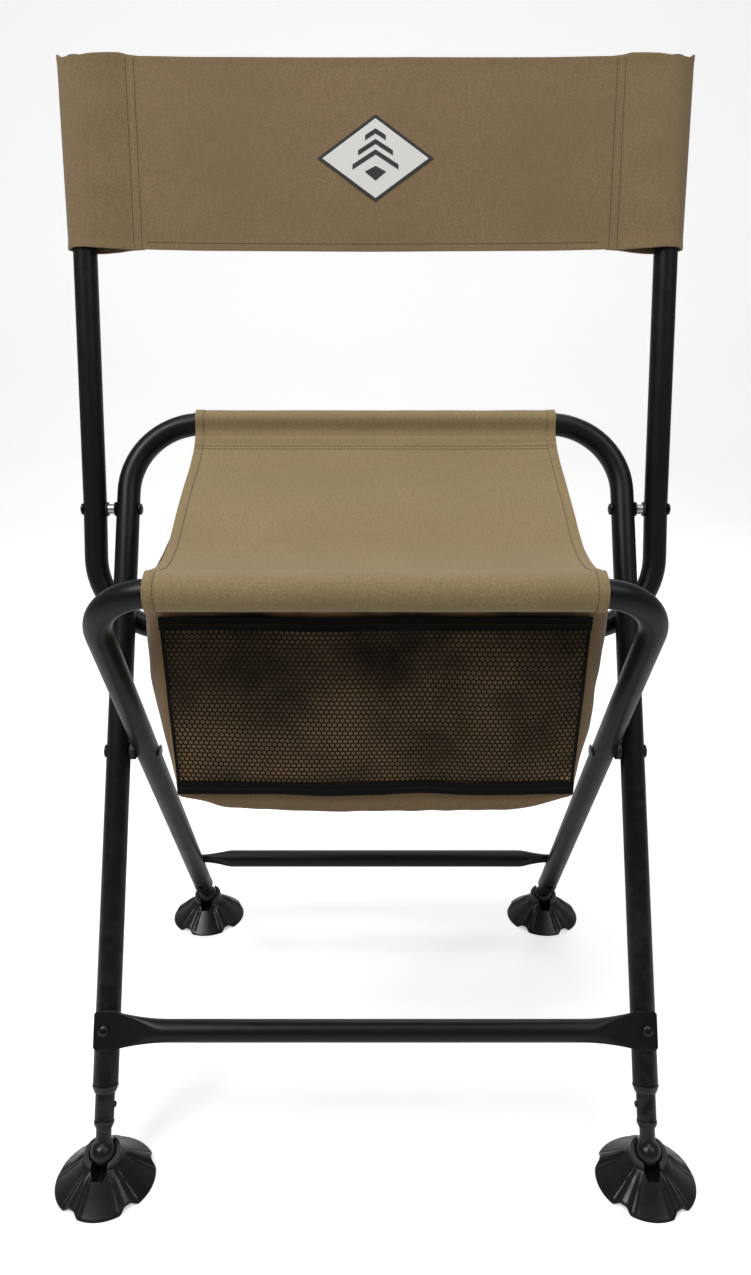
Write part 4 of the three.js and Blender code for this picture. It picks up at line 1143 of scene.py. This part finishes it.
def add_cover():
    grid, weave, heights, plan = cover_grid()
    columns = grid.shape[1]
    normals = np.cross(np.gradient(grid, axis=1), np.gradient(grid, axis=0))
    normals /= np.linalg.norm(normals, axis=2, keepdims=True)
    hem = 1 - smooth(0.0068, 0.0076, np.minimum(heights - COVER_LOW, COVER_HIGH - heights))
    half = np.tile(0.0007 + 0.00055 * hem[:, None], (1, columns))
    cloth = new_object("back_panel", shell(grid, half, normals))
    finish_piece(cloth, BACK_CLOTH, "backrest", ["backrest_cover"], 50, both_sides(weave))
    facing = normals if normals[10, columns // 2, 1] < 0 else -normals
    face = grid + facing * half[..., None]
    front_layer = np.arange(columns // 5, columns - columns // 5)

    def column(x):
        return int(front_layer[np.argmin(np.abs(plan[0, front_layer, 0] - x))])

    seams = []
    for sign in (-1, 1):
        for inset in (0.0, 0.0085):
            j = column(sign * (SEAM_X - inset))
            seams.append(stitches(face[1:-1, j], facing[1:-1, j]))
    left, right = column(-(SEAM_X - 0.012)), column(SEAM_X - 0.012)
    i = int(np.argmin(np.abs(heights - COVER_LOW - 0.0062)))
    seams.append(stitches(face[i, left:right], facing[i, left:right]))
    piece("back_stitching", joined(*seams), TAN_THREAD, "backrest")


add_cover()

# ---------------------------------------------------------------- emblem: a plain rhombus of chevrons

EMBLEM_Z = (COVER_LOW + COVER_HIGH) / 2 - 0.004


def plate_on_back(outline, lift):
    """A thin printed shape on the front of the cover; outline is x and z from the emblem's middle."""
    n = len(outline)
    front = [BACK.at(x, -0.0018 - lift, EMBLEM_Z + z) for x, z in outline]
    back = [BACK.at(x, -0.0013, EMBLEM_Z + z) for x, z in outline]
    faces = [tuple(range(n)), tuple(range(2 * n - 1, n - 1, -1))]
    faces += [(i, i + n, (i + 1) % n + n, (i + 1) % n) for i in range(n)]
    return np.array(front + back, float), faces


def rhombus(w, h):
    return [(-w, 0), (0, -h), (w, 0), (0, h)]


def chevron(z, reach, thick=0.0052):
    end = z - reach * 0.62
    return [(-reach, end), (-reach, end - thick), (0, z - thick), (reach, end - thick), (reach, end), (0, z)]


bars = [chevron(0.030, 0.011), chevron(0.0195, 0.0185), chevron(0.009, 0.0245)]
bars += [[(-0.0115, -0.0135), (0, -0.0075), (0.0115, -0.0135), (0, -0.0225)]]
piece("emblem_border", plate_on_back(rhombus(0.062, 0.044), 0.0002), INK_DARK, "backrest")
piece("emblem_field", plate_on_back(rhombus(0.0565, 0.040), 0.0004), INK_LIGHT, "backrest")
piece("emblem_bars", joined(*[plate_on_back(b, 0.0006) for b in bars]), INK_DARK, "backrest")

# ---------------------------------------------------------------- storage bag

bag_low, bag_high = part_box("storage_bag")
net_low, net_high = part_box("net_pocket")
BAG_FRONT, BAG_BACK = bag_low.y, bag_high.y
BAG_FLOOR, BAG_TOP = bag_low.z, bag_high.z
BAG_DEPTH = BAG_BACK - BAG_FRONT
RIM = BAG_TOP + 0.002
HALF_TOP, HALF_FLOOR = net_high.x + 0.002, net_high.x - 0.004
BELLY = ([0, 0.12, 0.35, 0.7, 0.9, 1.0], [0.002, 0.009, 0.020, 0.0245, 0.0235, 0.010])


def bag_half(t):
    """Half the bag's width at its front, at a share t of its height."""
    return HALF_FLOOR + (HALF_TOP - HALF_FLOOR) * t


def bag_height(side, x, y, width):
    """The rim above a point of the bag: level in front, up under the seat's web at the sides."""
    if side == "front":
        return RIM
    under = float(np.interp(y, web[:, 0], web[:, 1])) - 0.0052
    top = RIM + (under - RIM) * float(smooth(0.0, 0.035, y - BAG_FRONT))
    if side == "back":
        top -= (top - (BAG_TOP + 0.010)) * float(smooth(0.0, 0.045, width - abs(x)))
    return top


def bag_row(t, loop):
    """One closed row of points round the bag, at a share t of its height."""
    w = bag_half(t)
    belly = float(np.interp(t, *BELLY))
    row = []
    for side, u in loop:
        if side == "front":
            x, y = -w + 2 * w * u, BAG_FRONT
        elif side == "right":
            x, y = w + belly * math.sin(math.pi * u**0.72) ** 0.8, BAG_FRONT + BAG_DEPTH * u
        elif side == "back":
            x, y = w - 2 * w * u, BAG_BACK
        else:
            x, y = -w - belly * math.sin(math.pi * (1 - u) ** 0.72) ** 0.8, BAG_BACK - BAG_DEPTH * u
        row.append((x, y, BAG_FLOOR + (bag_height(side, x, y, w) - BAG_FLOOR) * t))
    return row


def crumpled(x, y, z):
    """A point of the plain bag, with the cloth's sag, corners and folds."""
    t = (z - BAG_FLOOR) / (BAG_TOP - BAG_FLOOR)
    low = float(1 - smooth(0.0, 0.55, t))
    across = 1 - min(1, abs(x) / HALF_TOP) ** 2.2
    corner = 0.009 * low * float(smooth(0.72, 1.0, abs(x) / HALF_FLOOR))
    small = 0.0022 * ripple(x, z + y, 16, 21.0) + 0.0012 * ripple(x + y, z, 38, 23.0)
    crumple = float(smooth(0.0, 0.15, 1.02 - t)) * small
    gusset = float(smooth(0.004, 0.02, min(y - BAG_FRONT, BAG_BACK - y)))
    inward = -1 if x > 0 else 1
    dx = gusset * inward * (crumple * 0.9 + 0.0008 * math.sin(z * 60 + 1.3 * np.sign(x)) * (1 - low))
    folds = 0.0028 * ripple(x + 0.5 * z, z, 11, 61.0) + 0.0012 * ripple(x - 0.8 * z, z, 26, 63.0)
    bulge = (-0.0022 if y < 0 else 0.006) * across * (1 - abs(2 * t - 0.8)) * (t < 0.9)
    dy = (1 - gusset) * (folds * float(smooth(1.0, 0.9, t)) + bulge)
    dz = corner - 0.0075 * low * across + 0.0015 * low * ripple(x * 1.5, y, 30, 31.0)
    return x + dx, y + dy, z + dz


SIDE_POINTS, FRONT_POINTS = 22, 60


def bag_grid():
    """Rows of points round the bag, from its top rim down the outside to the middle of its floor."""
    sides = (("front", FRONT_POINTS), ("right", SIDE_POINTS), ("back", FRONT_POINTS), ("left", SIDE_POINTS))
    loop = [(side, i / count) for side, count in sides for i in range(count)]
    levels = np.r_[np.linspace(1, 0.06, 34), 0.03, 0.01]
    sheet = np.array([bag_row(t, loop) for t in levels])
    middle = sheet[-1].mean(axis=0)
    shares = np.array([0.985, 0.95, 0.88, 0.76, 0.6, 0.42, 0.22, 0.06])
    rings = middle + (sheet[-1] - middle) * shares[:, None, None]
    rings[..., 2] = BAG_FLOOR
    grid = np.vstack([sheet, rings])
    return np.array([[crumpled(*point) for point in row] for row in grid])


def bag_solid(grid, thick):
    """An open bag of the grid's shape, with walls of a thickness and a closed floor."""
    rows, n = grid.shape[:2]
    normals = np.cross(np.roll(grid, -1, axis=1) - np.roll(grid, 1, axis=1), np.gradient(grid, axis=0))
    normals /= np.maximum(np.linalg.norm(normals, axis=2, keepdims=True), 1e-12)
    if (normals[5, 10] * (grid[5, 10] - grid[5].mean(axis=0))).sum() < 0:
        normals = -normals
    inner = grid - normals * thick
    ends = [grid[-1].mean(axis=0), inner[-1].mean(axis=0)]
    verts = np.vstack([grid.reshape(-1, 3), inner.reshape(-1, 3), ends])
    base, last = rows * n, (rows - 1) * n
    faces = []
    for j in range(n):
        k = (j + 1) % n
        for start in range(0, last, n):
            a, b, c, d = start + j, start + n + j, start + n + k, start + k
            faces.append((a, b, c, d))
            faces.append((base + a, base + d, base + c, base + b))
        faces.append((j, k, base + k, base + j))
        faces.append((last + j, 2 * base, last + k))
        faces.append((base + last + j, base + last + k, 2 * base + 1))
    return verts, faces


bag_points = bag_grid()
bag_part = bag_solid(bag_points, 0.0013)
x, y, z = bag_part[0].T
bag_weave = np.stack([x + y * np.sign(x), z, np.zeros_like(z)], axis=1)
bag = piece("bag_shell", bag_part, BAG_CLOTH, "front_legs", ["storage_bag"], 60, bag_weave)

# ---------------------------------------------------------------- net pocket on the bag's front

NET_TOP = net_high.z - 0.001
NET_BASE = net_low.z + 0.001
BAND = 0.0125
NET_PITCH = 0.0048
NET_THICK = 0.0005
HOLE_SHARE = 0.76  # of a cell's width


def bag_front_y(x, z):
    """The y of the bag's front cloth at an x and z, read off its grid."""
    rows = bag_points[:36, :FRONT_POINTS]
    i = int(np.argmin(np.abs(rows[:, FRONT_POINTS // 2, 2] - z)))
    return float(np.interp(x, rows[i, :, 0], rows[i, :, 1]))


def net_half(z):
    return bag_half((z - BAG_FLOOR) / (BAG_TOP - BAG_FLOOR)) - 0.0015


def net_y(x, z):
    """The net stands a little off the bag and hangs in slow waves."""
    t = (z - NET_BASE) / (NET_TOP - NET_BASE)
    edge = float(smooth(0, 0.04, net_half(z) - abs(x)))
    slack = 0.0009 + 0.0010 * edge * math.sin(math.pi * min(1, max(0, t)))
    return bag_front_y(x, z) - slack - 0.0005 * edge * (1 + ripple(x, z, 24, 41.0))


def net_cells():
    """The middles of the net's hexagonal cells."""
    low, high = NET_BASE + BAND * 0.5, NET_TOP - BAND * 0.5
    step = NET_PITCH * math.sqrt(3) / 2
    columns = int(2 * net_half(high) / NET_PITCH)
    for row in range(int((high - low) / step)):
        z = low + row * step
        for column in range(columns):
            x = (column - (columns - 1) / 2 + 0.5 * (row % 2) - 0.25) * NET_PITCH
            if abs(x) <= net_half(z) - NET_PITCH * 0.2:
                yield x, z


def net_sheet():
    """A knitted mesh: one hexagonal hole to a cell, as a thin solid sheet."""
    corner = NET_PITCH / math.sqrt(3)
    turns = [math.radians(60 * k) for k in range(6)]
    hexagon = [(corner * math.sin(turn), corner * math.cos(turn)) for turn in turns]
    index, points, faces = {}, [], []
    for x, z in net_cells():
        ring, hole = [], []
        for dx, dz in hexagon:
            key = (round((x + dx) * 1e5), round((z + dz) * 1e5))
            if key not in index:
                index[key] = len(points)
                points.append((x + dx, z + dz))
            ring.append(index[key])
        for dx, dz in hexagon:
            hole.append(len(points))
            points.append((x + dx * HOLE_SHARE, z + dz * HOLE_SHARE))
        faces += [(ring[k], ring[(k + 1) % 6], hole[(k + 1) % 6], hole[k]) for k in range(6)]
    sheet = []
    for x, z in points:
        edge = net_half(z) - 0.0006
        x = max(-edge, min(edge, x))
        sheet.append((x, net_y(x, z) - NET_THICK / 2, z + 0.0030 * ripple(x, z, 9, 47.0)))
    obj = new_object("net_sheet", (np.array(sheet), faces))
    thicken = obj.modifiers.new("thick", "SOLIDIFY")
    thicken.thickness = NET_THICK
    thicken.offset = 0
    bpy.context.view_layer.update()
    bake(obj)
    return finish_piece(obj, NET, "front_legs", ["net_pocket"], 60)


def tape(name, grid, weave, half):
    return piece(name, shell(grid, half), TAPE, "front_legs", (), 50, both_sides(weave))


def net_band(name, low, high, waves):
    """A strip of woven tape across the pocket, with a line of stitching along it."""
    zs, us = np.linspace(low, high, 7), np.linspace(-1, 1, 90)
    grid = np.zeros((len(zs), len(us), 3))
    weave = np.zeros_like(grid)
    for i, z in enumerate(zs):
        reach = net_half(z)
        for j, u in enumerate(us):
            x = u * (reach + 0.0012)
            wave = waves * ripple(x, 0.3, 13, 53.0)
            y = net_y(max(-reach, min(reach, x)), z) - 0.0012
            grid[i, j] = (x, y - 0.0004 * abs(wave) / waves, z + wave)
            weave[i, j] = (x, z, 0)
    line = grid[3] + [0, -0.0008, 0]
    across = np.tile([0, -1.0, 0], (len(line), 1))
    sewing = piece(name + "_stitching", stitches(line, across), BLACK_THREAD, "front_legs")
    return [tape(name, grid, weave, 0.0007), sewing]


def net_binding(name, sign):
    """The narrow tape down one side of the net."""
    zs = np.linspace(NET_BASE + 0.001, NET_TOP - 0.001, 60)
    insets = (0.0022, 0.0014, 0.0005, -0.0004)
    xs = [[sign * (net_half(z) - inset) for inset in insets] for z in zs]
    grid = np.array([[(x, net_y(x, z) - 0.0009, z) for x in row] for row, z in zip(xs, zs)])
    weave = np.array([[(z, inset, 0) for inset in insets] for z in zs])
    return tape(f"net_binding_{name}", grid, weave, 0.0006)


bag_pieces = [bag, net_sheet()]
bag_pieces += net_band("net_band_top", NET_TOP - BAND, NET_TOP, 0.0006)
bag_pieces += net_band("net_band_bottom", NET_BASE, NET_BASE + BAND, 0.0022)
bag_pieces += [net_binding(name, sign) for name, sign in SIDES]
for obj in bag_pieces:
    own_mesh(obj)

# ---------------------------------------------------------------- floor, light and camera

def add_floor():
    """A sheet of white paper that curves up behind the chair."""
    profile = [(-6.0, 0.0), (2.2, 0.0), (2.7, 0.06), (3.1, 0.25), (3.4, 0.6), (3.5, 1.1), (3.5, 5.0)]
    n = len(profile)
    verts = np.array([(x, y, z) for x in (-6.0, 6.0) for y, z in profile])
    floor = new_object("floor", (verts, [(i, n + i, n + i + 1, i + 1) for i in range(n - 1)]))
    floor.data.polygons.foreach_set("use_smooth", [True] * (n - 1))
    paper = Nodes("floor_paper")
    where = paper.coordinates()
    colour = paper.mix(paper.noise(where, 2.0), (0.80, 0.80, 0.80), (0.83, 0.83, 0.825))
    seen = paper.ramp(paper.node("ShaderNodeLightPath").outputs["Is Camera Ray"], 0.04, 0.48, 0.0, 1.0)
    paper.shader.inputs["Emission Color"].default_value = (1, 1, 1, 1)
    paper.link(seen, paper.shader.inputs["Emission Strength"])
    floor.data.materials.append(paper.done(colour, paper.ramp(paper.noise(where, 5.0), 0.75, 0.9)))


def area_light(name, place, target, size, power):
    data = bpy.data.lights.new(name, "AREA")
    data.energy = power
    data.shape = "RECTANGLE"
    data.size, data.size_y = size
    obj = bpy.data.objects.new(name, data)
    obj.location = place
    obj.rotation_euler = (Vector(target) - Vector(place)).to_track_quat("-Z", "Y").to_euler()
    bpy.context.scene.collection.objects.link(obj)


def add_world():
    """White where the camera looks, and a dim fill for everything else."""
    world = bpy.data.worlds.new("studio")
    world.use_nodes = True
    tree = world.node_tree
    shown = tree.nodes["Background"]
    ray = tree.nodes.new("ShaderNodeLightPath").outputs["Is Camera Ray"]
    level = tree.nodes.new("ShaderNodeMapRange")
    level.inputs["To Min"].default_value = 0.22
    level.inputs["To Max"].default_value = 1.0
    tree.links.new(ray, level.inputs["Value"])
    tree.links.new(level.outputs["Result"], shown.inputs["Strength"])
    shown.inputs["Color"].default_value = (1, 1, 1, 1)
    bpy.context.scene.world = world


def add_camera():
    data = bpy.data.cameras.new("camera")
    data.lens = 26.26
    data.sensor_width = 36
    data.sensor_fit = "AUTO"
    camera = bpy.data.objects.new("camera", data)
    camera.location = (0, FOLD.y - 0.9044, 0.8398)
    camera.rotation_euler = (math.radians(70.65), 0, 0)
    bpy.context.scene.collection.objects.link(camera)
    bpy.context.scene.camera = camera


add_floor()
area_light("key", (-1.5, -1.3, 3.0), (0, 0, 0.55), (1.2, 1.2), 50)
area_light("fill", (1.7, -1.3, 2.8), (0, 0, 0.5), (1.4, 1.4), 17)
area_light("top", (0.0, 0.1, 3.1), (0, 0, 0.5), (2.0, 2.0), 32)
area_light("rim", (0.4, 2.3, 1.9), (0, 0, 0.7), (2.0, 1.0), 12)
add_world()
add_camera()
bpy.context.scene.view_settings.view_transform = "Standard"
